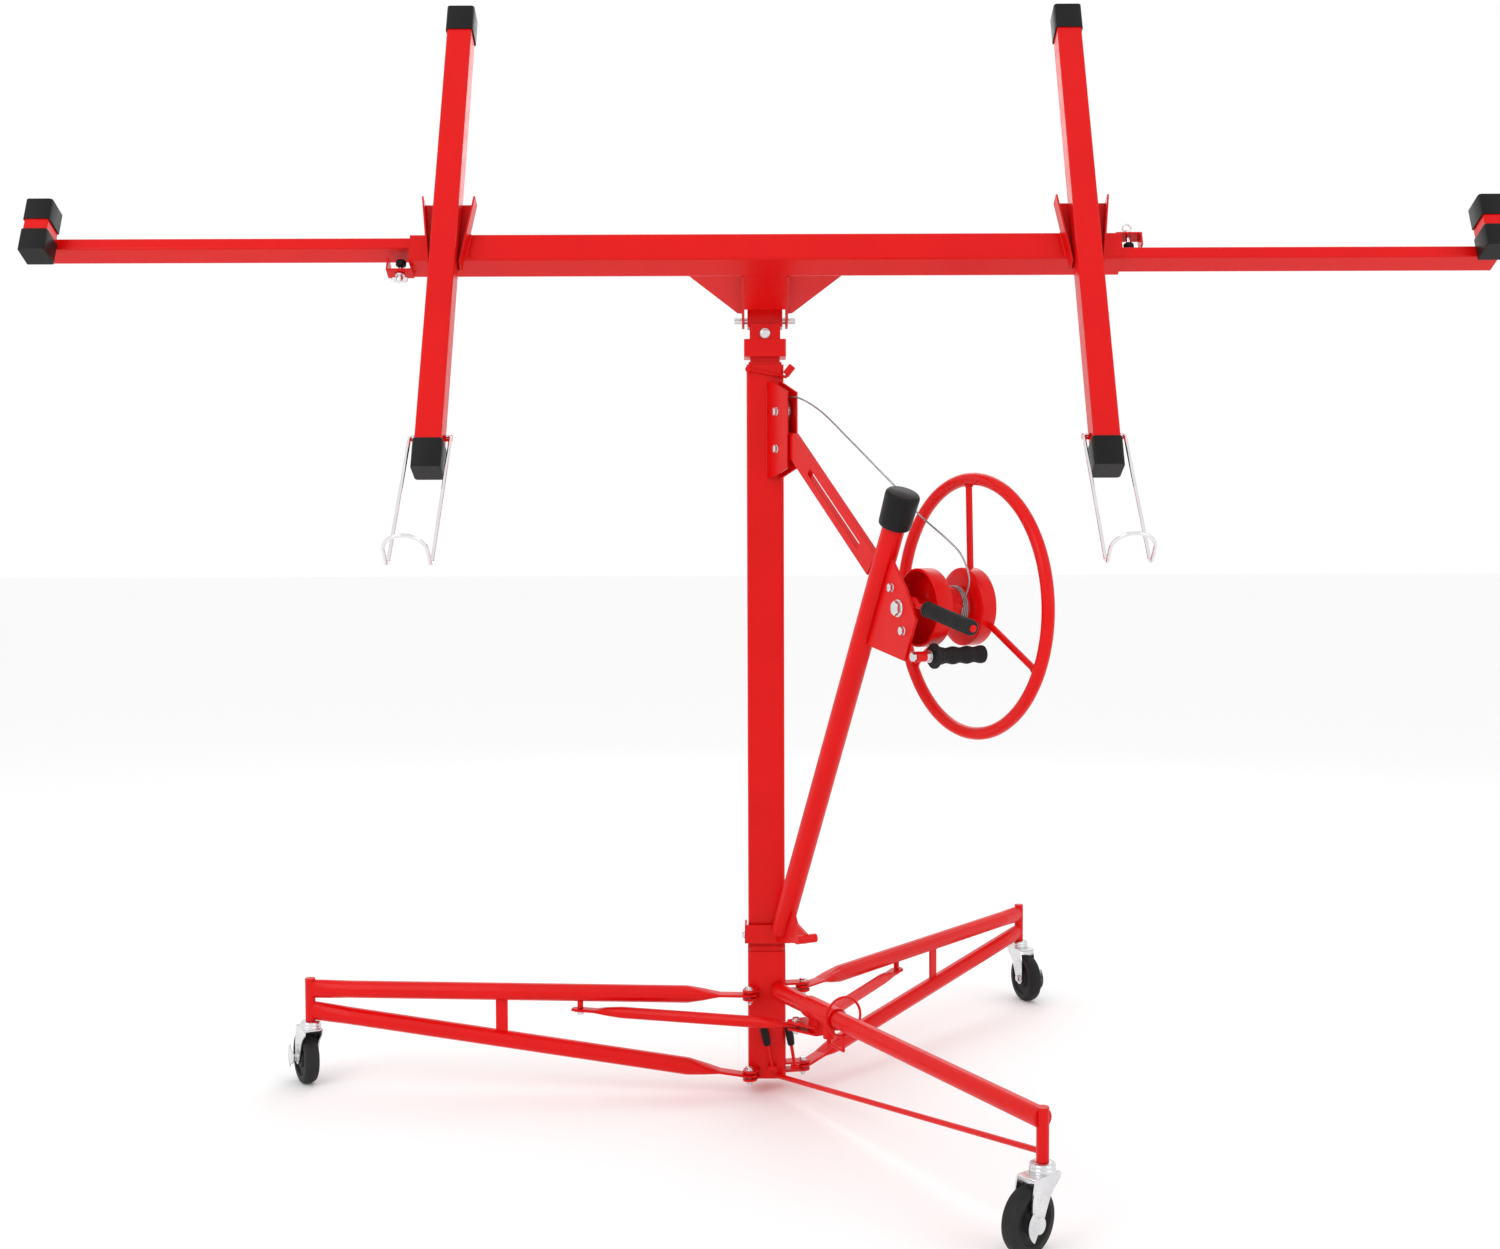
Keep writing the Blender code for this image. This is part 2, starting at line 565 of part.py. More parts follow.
# winch bracket welded to the mast's front corner: two cheeks with a slot for the cable pulley
BRACKET_LOW, BRACKET_HIGH, BRACKET_REACH = 1.139, 1.313, 0.105
CHEEK_AT, CHEEK_THICK = 0.0095, 0.003
for side in (-1, 1):
    root = (MAST_HALF_Y - 0.0015 + side * CHEEK_AT * SIDE.y) / -FRONT.y
    cheek = [(root, BRACKET_LOW), (root, BRACKET_HIGH), (0.050, BRACKET_HIGH),
             (BRACKET_REACH, BRACKET_HIGH - 0.022), (BRACKET_REACH, BRACKET_LOW + 0.015),
             (0.052, BRACKET_LOW)]
    shapes.append(plate(cheek, CHEEK_THICK, frame(SIDE * side * CHEEK_AT, FRONT, UP)))
BRACKET_BOLTS = (1.2577, 1.1903)
BRACKET_BOLT_AT = 0.0640
for height in BRACKET_BOLTS:
    cuts.append(rod(in_winch(BRACKET_BOLT_AT, height, -0.03), in_winch(BRACKET_BOLT_AT, height, 0.03),
                    BOLT_HOLE, 12))
piece("mast_outer", RED, shapes, cuts)

middle_x, middle_y = MAST_HALF_X - MAST_WALL - STAGE_GAP, MAST_HALF_Y - MAST_WALL - STAGE_GAP
shapes, cuts = channel(middle_x, middle_y, 0.0022, 0.290, 1.351, 0.012)
piece("mast_middle", RED, shapes, cuts, pivot=(0, 0, 0.290))
inner_x, inner_y = middle_x - 0.0022 - STAGE_GAP, middle_y - 0.0022 - STAGE_GAP
INNER_LOW, INNER_HIGH, INNER_WALL = 0.300, 1.380, 0.002
SLEEVE_X, SLEEVE_Y, SLEEVE_LOW, SLEEVE_HIGH = 0.0385, 0.0355, 1.360, 1.392
EAR_LOW, EAR_HIGH, EAR_THICK = 1.366, 1.419, 0.0035
shapes = [bar(rounded(inner_x, inner_y, 0.003), INNER_HIGH - INNER_LOW, (0, 0, (INNER_HIGH + INNER_LOW) / 2),
              (1, 0, 0), (0, 1, 0)),
          bar(rounded(SLEEVE_X, SLEEVE_Y, 0.004), SLEEVE_HIGH - SLEEVE_LOW,
              (0, 0, (SLEEVE_HIGH + SLEEVE_LOW) / 2), (1, 0, 0), (0, 1, 0))]
for side in (-1, 1):
    shapes.append(block((0.056, EAR_THICK, EAR_HIGH - EAR_LOW),
                        (0, side * (SLEEVE_Y - 0.0022), (EAR_HIGH + EAR_LOW) / 2)))
# the bore stops below the solid head, and the sleeve is dished down to the same head
cuts = [block((2 * (inner_x - INNER_WALL), 2 * (inner_y - INNER_WALL), 1.060), (0, 0, INNER_LOW + 0.529)),
        block((2 * SLEEVE_X - 0.008, 2 * SLEEVE_Y - 0.008, 0.050), (0, 0, INNER_HIGH - 0.002 + 0.025)),
        rod((0, -0.05, SIDE_TILT_Z), (0, 0.05, SIDE_TILT_Z), 0.0058, 16)]
piece("mast_inner", RED, shapes, cuts, pivot=(0, 0, INNER_LOW))

# transport catch across the mast's front, with a red knob
catch_pivot = Vector((-0.031, -0.0345, 1.337))
catch_end = Vector((0.040, -0.0375, 1.322))
shapes = [rod(catch_pivot - UP * 0.0002, catch_end, 0.0026, 10),
          rod(catch_end, catch_end + Vector((0, 0, 0.008)), 0.003, 10),
          rod(catch_end + Vector((-0.002, 0, 0.005)), catch_end + Vector((0.010, 0, 0.020)), 0.0068, 12),
          rod(catch_pivot + Vector((0, -0.003, 0)), catch_pivot + Vector((0, 0.0035, 0)), 0.0055, 12)]
piece("mast_catch", RED, shapes, pivot=catch_pivot)

# guide pulley inside the bracket, on its upper bolt
PULLEY_AT = in_winch(BRACKET_BOLT_AT, BRACKET_BOLTS[0])
PULLEY_GROOVE = 0.0216
profile = [(0.0043, -0.005), (0.0260, -0.005), (PULLEY_GROOVE, -0.0016), (PULLEY_GROOVE, 0.0016),
           (0.0260, 0.005), (0.0043, 0.005)]
piece("guide_pulley", ZINC, [turned(profile, PULLEY_AT, SIDE, 20)], pivot=PULLEY_AT)

# ---------------------------------------------------------------- winch
tube_low, tube_high = in_winch(*WINCH_TUBE[0]), in_winch(*WINCH_TUBE[1])
lean = (tube_high - tube_low).normalized()
IN_PLANE = frame(Vector((0, 0, 0)), FRONT, UP)
STRAP_Y, STRAP_THICK, STRAP_Z, STRAP_HEIGHT = -0.0378, 0.0045, 0.296, 0.034
shapes = [rod(tube_low, tube_high - lean * 0.006, WINCH_TUBE_R, 20),
          block((0.084, STRAP_THICK, STRAP_HEIGHT), (0.0015, STRAP_Y, STRAP_Z)),
          block((STRAP_THICK, 0.046, STRAP_HEIGHT), (-0.0383, STRAP_Y + 0.0225, STRAP_Z)),
          plate([(0.0425, 0.313), (0.0425, 0.281), (0.150, 0.300), (0.156, 0.318), (0.118, 0.330),
                 (0.100, 0.362), (0.070, 0.330)], 0.006, IN_PLANE),
          rod(in_winch(0.152, 0.309, -0.020), in_winch(0.152, 0.309, 0.020), 0.0080, 14)]
piece("winch_tube", RED, shapes)
cap_low = tube_high - lean * 0.052
bore = rod(cap_low - lean * 0.01, tube_high - lean * 0.0057, WINCH_TUBE_R + GAP, 20)
piece("winch_tube_cap", BLACK, [rod(cap_low, tube_high + lean * 0.008, 0.0265, 24, 0.0290)], [bore])

# brace from the bracket down to the tube, slotted, with a lobe that takes the bracket's lower bolt
BRACE_HALF, BRACE_THICK = 0.021, 0.011
brace_top, brace_low = in_winch(0.1050, 1.1990), in_winch(0.3950, 0.9768)
brace_way = (brace_low - brace_top).normalized()
brace_up = SIDE.cross(brace_way)
shapes = [block((BRACE_THICK, 2 * BRACE_HALF, (brace_low - brace_top).length - 0.012),
                (brace_top + brace_low) / 2 - brace_way * 0.006, SIDE, brace_up),
          plate([(0.0460, 1.172), (0.0460, 1.222), (0.0740, 1.222), (0.1000, 1.2180), (0.1300, 1.1980),
                 (0.1120, 1.1680)], BRACE_THICK, IN_PLANE)]
cuts = [block((0.215, 0.03, 0.013), (brace_top + brace_low) / 2 + brace_way * 0.012, brace_way, SIDE)]
upper_bolt, lower_bolt = (in_winch(BRACKET_BOLT_AT, height) for height in BRACKET_BOLTS)
cuts.append(rod(lower_bolt - SIDE * 0.03, lower_bolt + SIDE * 0.03, BOLT_HOLE, 12))
piece("winch_brace", RED, shapes, cuts)
for label, centre in (("upper", upper_bolt), ("lower", lower_bolt)):
    piece(f"bracket_bolt_{label}", ZINC, bolt(centre, SIDE, 0.0228))

# side plate beside the tube, carrying the axle, brake lever and steady handle
PLATE_THICK = 0.005


def on_tube(height, offset):
    """Point of the winch plane at a height, a distance outward of the tube's centre line."""
    share = (height - tube_low.z) / (tube_high.z - tube_low.z)
    centre = tube_low + (tube_high - tube_low) * share
    return centre.dot(FRONT) + offset, height


LEVER_AT = (0.492, 0.924)
lug_at = (0.512, 0.8385)
outline = [on_tube(0.995, 0.0222), (0.486, 0.950), (0.5185, 0.899), (0.484, 0.830), on_tube(0.850, 0.0222)]
shapes = [plate(outline, PLATE_THICK, IN_PLANE),
          block((0.044, 0.010, 0.014), in_winch(0.490, 0.8385, 0.006), FRONT, SIDE),
          rod(in_winch(*lug_at, 0.001), in_winch(*lug_at, 0.020), 0.0085, 12)]
cuts = [rod(in_winch(*AXLE_AT, -0.03), in_winch(*AXLE_AT, 0.03), 0.0078, 16),
        rod(in_winch(*lug_at, -0.01), in_winch(*lug_at, 0.03), 0.0043, 12)]
piece("winch_plate", RED, shapes, cuts)
shapes = [rod(in_winch(*AXLE_AT, -0.012), in_winch(*AXLE_AT, 0.158), 0.0075, 16),
          rod(in_winch(*AXLE_AT, -0.012), in_winch(*AXLE_AT, -0.0028), 0.0120, 6),
          rod(in_winch(*AXLE_AT, 0.1485), in_winch(*AXLE_AT, 0.158), 0.0110, 6)]
piece("winch_axle", ZINC, shapes)
# drum: open brake cup and spool in one turning; the outer flange belongs to the hand wheel
SPOOL_R, FLANGE_R, CUP_AT, FLANGE_AT, FLANGE_END = 0.0330, 0.0645, 0.033, 0.1165, 0.146
profile = [(0.0078, 0.010), (0.0130, 0.010), (0.0130, 0.056), (FLANGE_R - 0.005, 0.056),
           (FLANGE_R - 0.005, CUP_AT), (FLANGE_R, CUP_AT), (FLANGE_R, 0.062), (0.0500, 0.066),
           (SPOOL_R, 0.068), (SPOOL_R, FLANGE_AT - GAP), (0.0078, FLANGE_AT - GAP)]
piece("winch_drum", RED, [turned(profile, in_winch(*AXLE_AT), SIDE, 24)], pivot=in_winch(*AXLE_AT))
hub = in_winch(*AXLE_AT, WHEEL_SIDE)
profile = [(0.0078, FLANGE_AT), (0.0500, FLANGE_AT), (FLANGE_R, FLANGE_AT + 0.004), (FLANGE_R, FLANGE_END),
           (FLANGE_R - 0.006, FLANGE_END + 0.002), (0.0078, FLANGE_END + 0.002)]
shapes = [turned(profile, in_winch(*AXLE_AT), SIDE, 24),
          ring(hub, SIDE, WHEEL_RING_R, WHEEL_RING_TUBE, 40, 8)]
for turn in (math.radians(92), math.radians(212), math.radians(332)):
    out = FRONT * math.cos(turn) + UP * math.sin(turn)
    shapes.append(rod(hub + out * (FLANGE_R - 0.008), hub + out * (WHEEL_RING_R - 0.002), 0.0055, 10))
piece("hand_wheel", RED, shapes, pivot=hub)

# brake lever: a flat arm hinged between the plate and the cup, its grip pointing outward
lever_pivot = in_winch(*LEVER_AT, 0.0085)
droop = math.radians(-11)
out = FRONT * math.cos(droop) + UP * math.sin(droop)
shapes = [rod(lever_pivot, lever_pivot + out * 0.070, 0.0048, 12),
          rod(lever_pivot - SIDE * 0.0052, lever_pivot + SIDE * 0.0048, 0.0100, 14)]
piece("brake_lever", RED, shapes, pivot=lever_pivot)
grip_low = lever_pivot + out * 0.043
bore = rod(grip_low - out * 0.01, lever_pivot + out * 0.0703, 0.0048 + GAP, 12)
piece("brake_grip", RUBBER, [rod(grip_low, lever_pivot + out * 0.175, 0.0130, 16)], [bore],
      pivot=lever_pivot)
shapes = [rod(in_winch(*lug_at, -0.006), in_winch(*lug_at, 0.128), 0.0040, 12),
          rod(in_winch(*lug_at, 0.0203), in_winch(*lug_at, 0.034), 0.0085, 6),
          rod(in_winch(*lug_at, -0.0065), in_winch(*lug_at, 0.0007), 0.0075, 6)]
piece("steady_handle_bolt", ZINC, shapes)
# the grip ends short of the hand wheel's spokes
profile = [(0.0043, 0.0345), (0.0205, 0.0345), (0.0205, 0.040), (0.0135, 0.044), (0.0145, 0.070),
           (0.0135, 0.098), (0.0155, 0.126), (0.0145, 0.1325), (0.0043, 0.1325)]
piece("steady_grip", RUBBER, [turned(profile, in_winch(*lug_at), SIDE, 14)])

# lifting cable: from the drum up in a slack bow to the bracket, over the pulley and down the mast
ROUTE = ((0.1236, 0.0000, 1.2795), (0.2050, 0.0020, 1.2500), (0.2895, 0.0120, 1.1955),
         (0.3577, 0.0300, 1.1410), (0.3930, 0.0450, 1.1080), (0.4270, 0.0600, 1.0700),
         (0.4820, 0.0850, 1.0240), (0.5050, 0.0960, 0.9980), (0.5190, 0.1000, 0.9600),
         (0.5010, 0.1000, 0.9200))


def smooth(points, steps):
    """Points of a Catmull-Rom curve through the given ones."""
    knots = [Vector(point) for point in points]
    knots = [knots[0] * 2 - knots[1]] + knots + [knots[-1] * 2 - knots[-2]]
    path = []
    for a, b, c, d in zip(knots, knots[1:], knots[2:], knots[3:]):
        for step in range(steps):
            t = step / steps
            path.append((b * 2 + (c - a) * t + (a * 2 - b * 5 + c * 4 - d) * t * t
                         + (b * 3 - a - c * 3 + d) * t ** 3) / 2)
    return path + [knots[-2]]


# down the mast's face from the pulley, over the pulley's groove, then out along the route
groove = PULLEY_GROOVE + CABLE_R + 0.0002
start = [in_winch(BRACKET_BOLT_AT - groove, height) for height in (1.150, 1.185, 1.220)]
for step in range(8):
    turn = math.radians(180 - 14 * step)
    start.append(PULLEY_AT + FRONT * groove * math.cos(turn) + UP * groove * math.sin(turn))
route = start + [in_winch(reach, height, side) for reach, side, height in ROUTE]
piece("lift_cable", ROPE, [wire(smooth(route, 2), CABLE_R)])

# ---------------------------------------------------------------- cradle
# tilting head: rocks sideways on its bolt, and carries the pin that the cradle tips about
HEAD_X, HEAD_Y, HEAD_Z = 0.0320, 0.054, 1.444
shapes = [block((2 * HEAD_X, HEAD_Y, 0.058), (0, 0, HEAD_Z)),
          block((0.050, HEAD_Y, 0.045), (0, 0, 1.4065))]
cuts = [rod((0, -0.05, SIDE_TILT_Z), (0, 0.05, SIDE_TILT_Z), 0.0055, 16),
        rod((-0.06, 0, TILT_Z), (0.06, 0, TILT_Z), 0.0068, 16),
        rod((0, -0.05, HEAD_Z + 0.008), (0, -0.015, HEAD_Z + 0.008), 0.005, 12),
        block((0.052, 0.046, 0.034), (0, 0.002, HEAD_Z + 0.016))]
piece("tilt_head", RED, shapes, cuts, pivot=(0, 0, SIDE_TILT_Z))
shapes = bolt((0, 0, SIDE_TILT_Z), (0, 1, 0), 0.0725, 0.0050, 0.0085, 0.006)
piece("side_tilt_bolt", ZINC, shapes)
piece("tilt_pin", ZINC, [rod((-0.056, 0, TILT_Z), (0.056, 0, TILT_Z), 0.0063, 16)])

# main beam with the saddle cheeks, gussets and arm seats welded on
beam_at = cradle(0, BEAM_AT, 0)
shapes = [bar(rounded(BEAM_NORMAL / 2, BEAM_ARM / 2, 0.004), BEAM_LENGTH, beam_at, NORMAL, ALONG)]
cuts = [bar(rounded(BEAM_NORMAL / 2 - BEAM_WALL, BEAM_ARM / 2 - BEAM_WALL, 0.002), BEAM_LENGTH + 0.02,
            beam_at, NORMAL, ALONG)]
beam_back, beam_front = BEAM_AT - BEAM_NORMAL / 2, BEAM_AT + BEAM_NORMAL / 2
CHEEK_INNER, CHEEK_OUTER = 0.0375, 0.0420
for side in (-1, 1):
    centre = side * (CHEEK_INNER + CHEEK_OUTER) / 2
    outline = [(beam_back + 0.001, -0.026), (0.010, -0.018), (-0.004, -0.015), (-0.014, -0.006),
               (-0.014, 0.006), (-0.004, 0.015), (0.010, 0.018), (beam_back + 0.001, 0.026)]
    shapes.append(plate(outline, CHEEK_OUTER - CHEEK_INNER, frame(cradle(centre, 0, 0), NORMAL, ALONG)))
    gusset = [(side * (CHEEK_OUTER - 0.001), beam_back + 0.001), (side * (CHEEK_OUTER - 0.001), 0.028),
              (side * 0.050, 0.030), (side * 0.158, beam_back + 0.001)]
    shapes.append(plate(gusset, 0.005, frame(cradle(0, 0, 0), X, NORMAL)))
shapes.append(block((2 * CHEEK_INNER + 0.002, 0.110, 0.005), cradle(0, beam_back - 0.054, -0.0205),
                    X, NORMAL))
cuts.append(rod((-0.06, 0, TILT_Z), (0.06, 0, TILT_Z), 0.0066, 16))
# arm seats: flared troughs, widest at their upper end
SEAT_WALL, SEAT_HEIGHT = 0.003, 0.027
SEAT_LOW, SEAT_HIGH, SEAT_NARROW, SEAT_WIDE = -0.050, 0.084, 0.028, 0.046
seat_back = beam_front - 0.0003
for side in (-1, 1):
    narrow, wide = SEAT_NARROW - SEAT_WALL / 2, SEAT_WIDE - SEAT_WALL / 2
    floor = [(side * ARM_X - narrow, SEAT_LOW), (side * ARM_X + narrow, SEAT_LOW),
             (side * ARM_X + wide, SEAT_HIGH), (side * ARM_X - wide, SEAT_HIGH)]
    shapes.append(plate(floor, SEAT_WALL, frame(cradle(0, seat_back + SEAT_WALL / 2, 0), X, ALONG)))
    for wall in (-1, 1):
        low = Vector((side * ARM_X + wall * narrow, SEAT_LOW - 0.0007))
        high = Vector((side * ARM_X + wall * wide, SEAT_HIGH + 0.0007))
        run = high - low
        middle = (low + high) / 2
        shapes.append(block((run.length, SEAT_WALL, SEAT_HEIGHT),
                            cradle(middle.x, seat_back + 0.0009 + SEAT_HEIGHT / 2, middle.y),
                            X * run.x + ALONG * run.y, X * run.y - ALONG * run.x))
# straps at the beam's mouths that take the outriggers' clamp screws, one below and one above
STRAP_AT, STRAP_HALF, STRAP_WALL, STRAP_WIDE = BEAM_LENGTH / 2 + 0.0175, 0.0225, 0.003, 0.026
STRAP_IN, STRAP_OUT = 0.0115, 0.0365
for side, over in ((-1, -1), (1, 1)):
    inner = STRAP_HALF - STRAP_WALL
    strap = [(-STRAP_HALF, STRAP_IN), (-STRAP_HALF, STRAP_OUT), (STRAP_HALF, STRAP_OUT),
             (STRAP_HALF, STRAP_IN), (inner, STRAP_IN), (inner, STRAP_OUT - STRAP_WALL),
             (-inner, STRAP_OUT - STRAP_WALL), (-inner, STRAP_IN)]
    shapes.append(plate([(x, over * height) for x, height in strap], STRAP_WIDE,
                        frame(cradle(side * STRAP_AT, BEAM_AT, 0), X, ALONG)))
    cuts.append(rod(cradle(side * STRAP_AT, BEAM_AT, over * 0.030),
                    cradle(side * STRAP_AT, BEAM_AT, over * 0.040), 0.0043, 12))
piece("main_beam", RED, shapes, cuts, pivot=TILT_PIVOT)

# cross arms lying in their seats, with slip-over end caps
arm_normal = seat_back + SEAT_WALL + GAP + ARM_HALF
ARM_WALL = 0.002
HOOK_PIVOT = -ARM_DOWN + 0.066      # along the arm
for name, side in (("left", -1), ("right", 1)):
    centre = cradle(side * ARM_X, arm_normal, (ARM_UP - ARM_DOWN) / 2)
    length = ARM_UP + ARM_DOWN - 2 * CAP_WALL - 2 * GAP
    outer = bar(rounded(ARM_HALF, ARM_HALF, 0.003), length, centre, X, NORMAL)
    inner = bar(rounded(ARM_HALF - ARM_WALL, ARM_HALF - ARM_WALL, 0.0015), length + 0.02, centre, X, NORMAL)
    hook_hole = rod(cradle(side * ARM_X - 0.05, arm_normal, HOOK_PIVOT),
                    cradle(side * ARM_X + 0.05, arm_normal, HOOK_PIVOT), 0.0036, 12)
    piece(f"{name}_cross_arm", RED, [outer], [inner, hook_hole], pivot=centre)
    for label, end, way in (("upper", ARM_UP, 1), ("lower", -ARM_DOWN, -1)):
        middle = end - way * ARM_CAP / 2
        cap = bar(rounded(ARM_HALF + CAP_WALL, ARM_HALF + CAP_WALL, 0.005), ARM_CAP,
                  cradle(side * ARM_X, arm_normal, middle), X, NORMAL)
        hollow = bar(rounded(ARM_HALF + GAP, ARM_HALF + GAP, 0.003), ARM_CAP,
                     cradle(side * ARM_X, arm_normal, middle - way * CAP_WALL), X, NORMAL)
        piece(f"{name}_arm_cap_{label}", BLACK, [cap], [hollow])

# outriggers that slide out of the beam side by side, each with a capped T at its end
T_HALF_X, T_HALF_N, T_CAP, T_SPACE = 0.0205, 0.0240, 0.041, 0.020
T_LENGTH = 2 * T_CAP + T_SPACE
out_inner = 0.052
for name, side, shift in (("left", -1, OUTRIGGER_SHIFT), ("right", 1, -OUTRIGGER_SHIFT)):
    inboard, outboard = side * out_inner, side * (CRADLE_TIP - 0.006)
    centre = cradle((inboard + outboard) / 2, BEAM_AT, shift)
    rail = bar(rounded(OUTRIGGER_NORMAL / 2, OUTRIGGER_ARM / 2, 0.003), abs(outboard - inboard), centre,
               NORMAL, ALONG)
    hollow = bar(rounded(OUTRIGGER_NORMAL / 2 - 0.002, OUTRIGGER_ARM / 2 - 0.002, 0.0015),
                 abs(outboard - inboard) + 0.02, centre, NORMAL, ALONG)
    t_x = side * (CRADLE_TIP - T_HALF_X - CAP_WALL)
    t_normal = BEAM_AT + OUTRIGGER_NORMAL / 2 + T_HALF_N - 0.001
    t_along = 0.020
    t_length = T_LENGTH - 2 * CAP_WALL - 2 * GAP
    t_bar = bar(rounded(T_HALF_X, T_HALF_N, 0.003), t_length, cradle(t_x, t_normal, t_along),
                X, NORMAL)
    t_hollow = bar(rounded(T_HALF_X - 0.002, T_HALF_N - 0.002, 0.0015), t_length + 0.02,
                   cradle(t_x, t_normal, t_along), X, NORMAL)
    piece(f"{name}_outrigger", RED, [rail, t_bar], [hollow, t_hollow],
          pivot=cradle(side * BEAM_LENGTH / 2, BEAM_AT, shift))
    for label, way in (("upper", 1), ("lower", -1)):
        middle = t_along + way * (T_LENGTH / 2 - T_CAP / 2)
        cap = bar(rounded(T_HALF_X + CAP_WALL, T_HALF_N + CAP_WALL, 0.005), T_CAP,
                  cradle(t_x, t_normal, middle), X, NORMAL)
        hollow = bar(rounded(T_HALF_X + GAP, T_HALF_N + GAP, 0.003), T_CAP,
                     cradle(t_x, t_normal, middle - way * CAP_WALL), X, NORMAL)
        notch = block((0.12, 0.030, 0.12),
                      cradle(t_x, BEAM_AT + OUTRIGGER_NORMAL / 2 - 0.015 + GAP, shift), X, NORMAL)
        piece(f"{name}_end_cap_{label}", BLACK, [cap], [hollow, notch])

# clamp screws of the outriggers, each with its pad, nut and turning head: wings on the left, an eye on the
# right
PAD_IN, PAD_OUT, SCREW_END = OUTRIGGER_ARM / 2 + GAP, 0.0195, 0.048
NUT_IN, NUT_OUT = STRAP_OUT + GAP, 0.0405
for name, side, over in (("left", -1, -1), ("right", 1, 1)):
    def on_screw(height):
        """Point of the screw's axis, a height above the middle of the beam."""
        return cradle(side * STRAP_AT, BEAM_AT, over * height)

    head = on_screw(SCREW_END)
    shapes = [rod(on_screw(PAD_IN), head, 0.0040, 12),
              rod(on_screw(PAD_IN), on_screw(PAD_OUT), 0.0090, 16),
              rod(on_screw(NUT_IN), on_screw(NUT_OUT), 0.0080, 16)]
    if side < 0:
        shapes.append(block((0.030, 0.0035, 0.012), head, X, NORMAL))
    else:
        shapes.append(ring(on_screw(SCREW_END + 0.005), NORMAL, 0.0075, 0.0020, 16, 6))
    piece(f"{name}_clamp_screw", ZINC, shapes, pivot=head)

# spring-wire panel hooks, hinged at the sides of the lower arm ends
HOOK_R, HOOK_HALF, HOOK_LEG, HOOK_LIP = 0.0030, 0.0335, 0.283, 0.072
HOOK_TURN = math.radians(17)
for name, side in (("left", -1), ("right", 1)):
    pivot = cradle(side * ARM_X, arm_normal, HOOK_PIVOT)
    down = -ALONG * math.cos(HOOK_TURN) + NORMAL * math.sin(HOOK_TURN)
    lip = NORMAL * math.cos(HOOK_TURN) + ALONG * math.sin(HOOK_TURN)
    left_line = [pivot - X * 0.027, pivot - X * (HOOK_HALF - 0.004), pivot - X * HOOK_HALF + down * 0.006]
    left_line += [pivot - X * HOOK_HALF + down * (HOOK_LEG - 0.014)]
    for step in range(1, 5):
        turn = math.pi / 2 * step / 4
        left_line.append(pivot - X * HOOK_HALF + down * (HOOK_LEG - 0.014 + 0.014 * math.sin(turn))
                         + lip * 0.014 * (1 - math.cos(turn)))
    arch = []
    for step in range(11):
        turn = math.pi * step / 10
        arch.append(pivot - X * HOOK_HALF * math.cos(turn) + down * HOOK_LEG
                    + lip * (HOOK_LIP - HOOK_HALF + HOOK_HALF * math.sin(turn)))
    mirror = [Vector((2 * pivot.x - point.x, point.y, point.z)) for point in reversed(left_line)]
    piece(f"{name}_panel_hook", CHROME, [wire(left_line + arch + mirror, HOOK_R, sides=2)], pivot=pivot)
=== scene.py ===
"""Looks of the drywall panel lift: enamel, zinc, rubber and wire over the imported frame.

Metres, +Z up, cradle's main beam along +X. Places come from the frame's own joints and node boxes.
"""
import json
import math

import bmesh
import bpy
import numpy as np
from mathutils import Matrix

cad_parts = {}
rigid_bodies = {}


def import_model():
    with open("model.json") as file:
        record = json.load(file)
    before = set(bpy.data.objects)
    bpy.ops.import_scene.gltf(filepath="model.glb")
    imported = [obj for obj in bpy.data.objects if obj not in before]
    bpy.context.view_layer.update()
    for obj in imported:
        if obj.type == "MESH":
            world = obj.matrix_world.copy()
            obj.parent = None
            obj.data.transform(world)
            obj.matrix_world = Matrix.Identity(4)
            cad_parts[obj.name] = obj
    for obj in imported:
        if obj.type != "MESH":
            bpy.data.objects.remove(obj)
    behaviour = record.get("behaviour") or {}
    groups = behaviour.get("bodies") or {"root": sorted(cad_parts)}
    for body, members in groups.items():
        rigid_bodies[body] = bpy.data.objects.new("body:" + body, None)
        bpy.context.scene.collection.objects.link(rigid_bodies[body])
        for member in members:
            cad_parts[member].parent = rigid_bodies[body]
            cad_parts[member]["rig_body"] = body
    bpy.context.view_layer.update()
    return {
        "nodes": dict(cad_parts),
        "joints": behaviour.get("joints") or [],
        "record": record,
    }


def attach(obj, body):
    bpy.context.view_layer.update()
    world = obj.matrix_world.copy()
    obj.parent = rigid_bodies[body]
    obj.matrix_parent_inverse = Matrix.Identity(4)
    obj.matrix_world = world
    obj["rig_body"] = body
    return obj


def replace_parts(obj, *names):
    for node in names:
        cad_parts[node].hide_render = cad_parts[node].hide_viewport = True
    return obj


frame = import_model()

# ---------------------------------------------------------------- red enamelled steelwork
# Mast channels, legs, cradle and winch frame: mild steel tube and folded plate, welded up, then
# dipped in one thick coat of glossy red enamel that rounds over every edge and welded seam.


def node_group(name, inputs, outputs):
    """An empty shader group with float inputs {name: default} and outputs {name: socket type}."""
    tree = bpy.data.node_groups.new(name, "ShaderNodeTree")
    for label, value in inputs.items():
        socket = tree.interface.new_socket(label, in_out="INPUT", socket_type="NodeSocketFloat")
        socket.default_value = value
    for label, kind in outputs.items():
        tree.interface.new_socket(label, in_out="OUTPUT", socket_type=kind)
    return tree, tree.nodes.new("NodeGroupInput"), tree.nodes.new("NodeGroupOutput")


def join(tree, *pairs):
    """Link output sockets to input sockets, two by two."""
    for source, target in zip(pairs[::2], pairs[1::2]):
        tree.links.new(source, target)


def node(tree, kind, operation=None, **values):
    """A shader node with its operation and its input values set by socket name."""
    made = tree.nodes.new("ShaderNode" + kind)
    if operation:
        made.operation = operation
    for label, value in values.items():
        made.inputs[label.replace("_", " ")].default_value = value
    return made


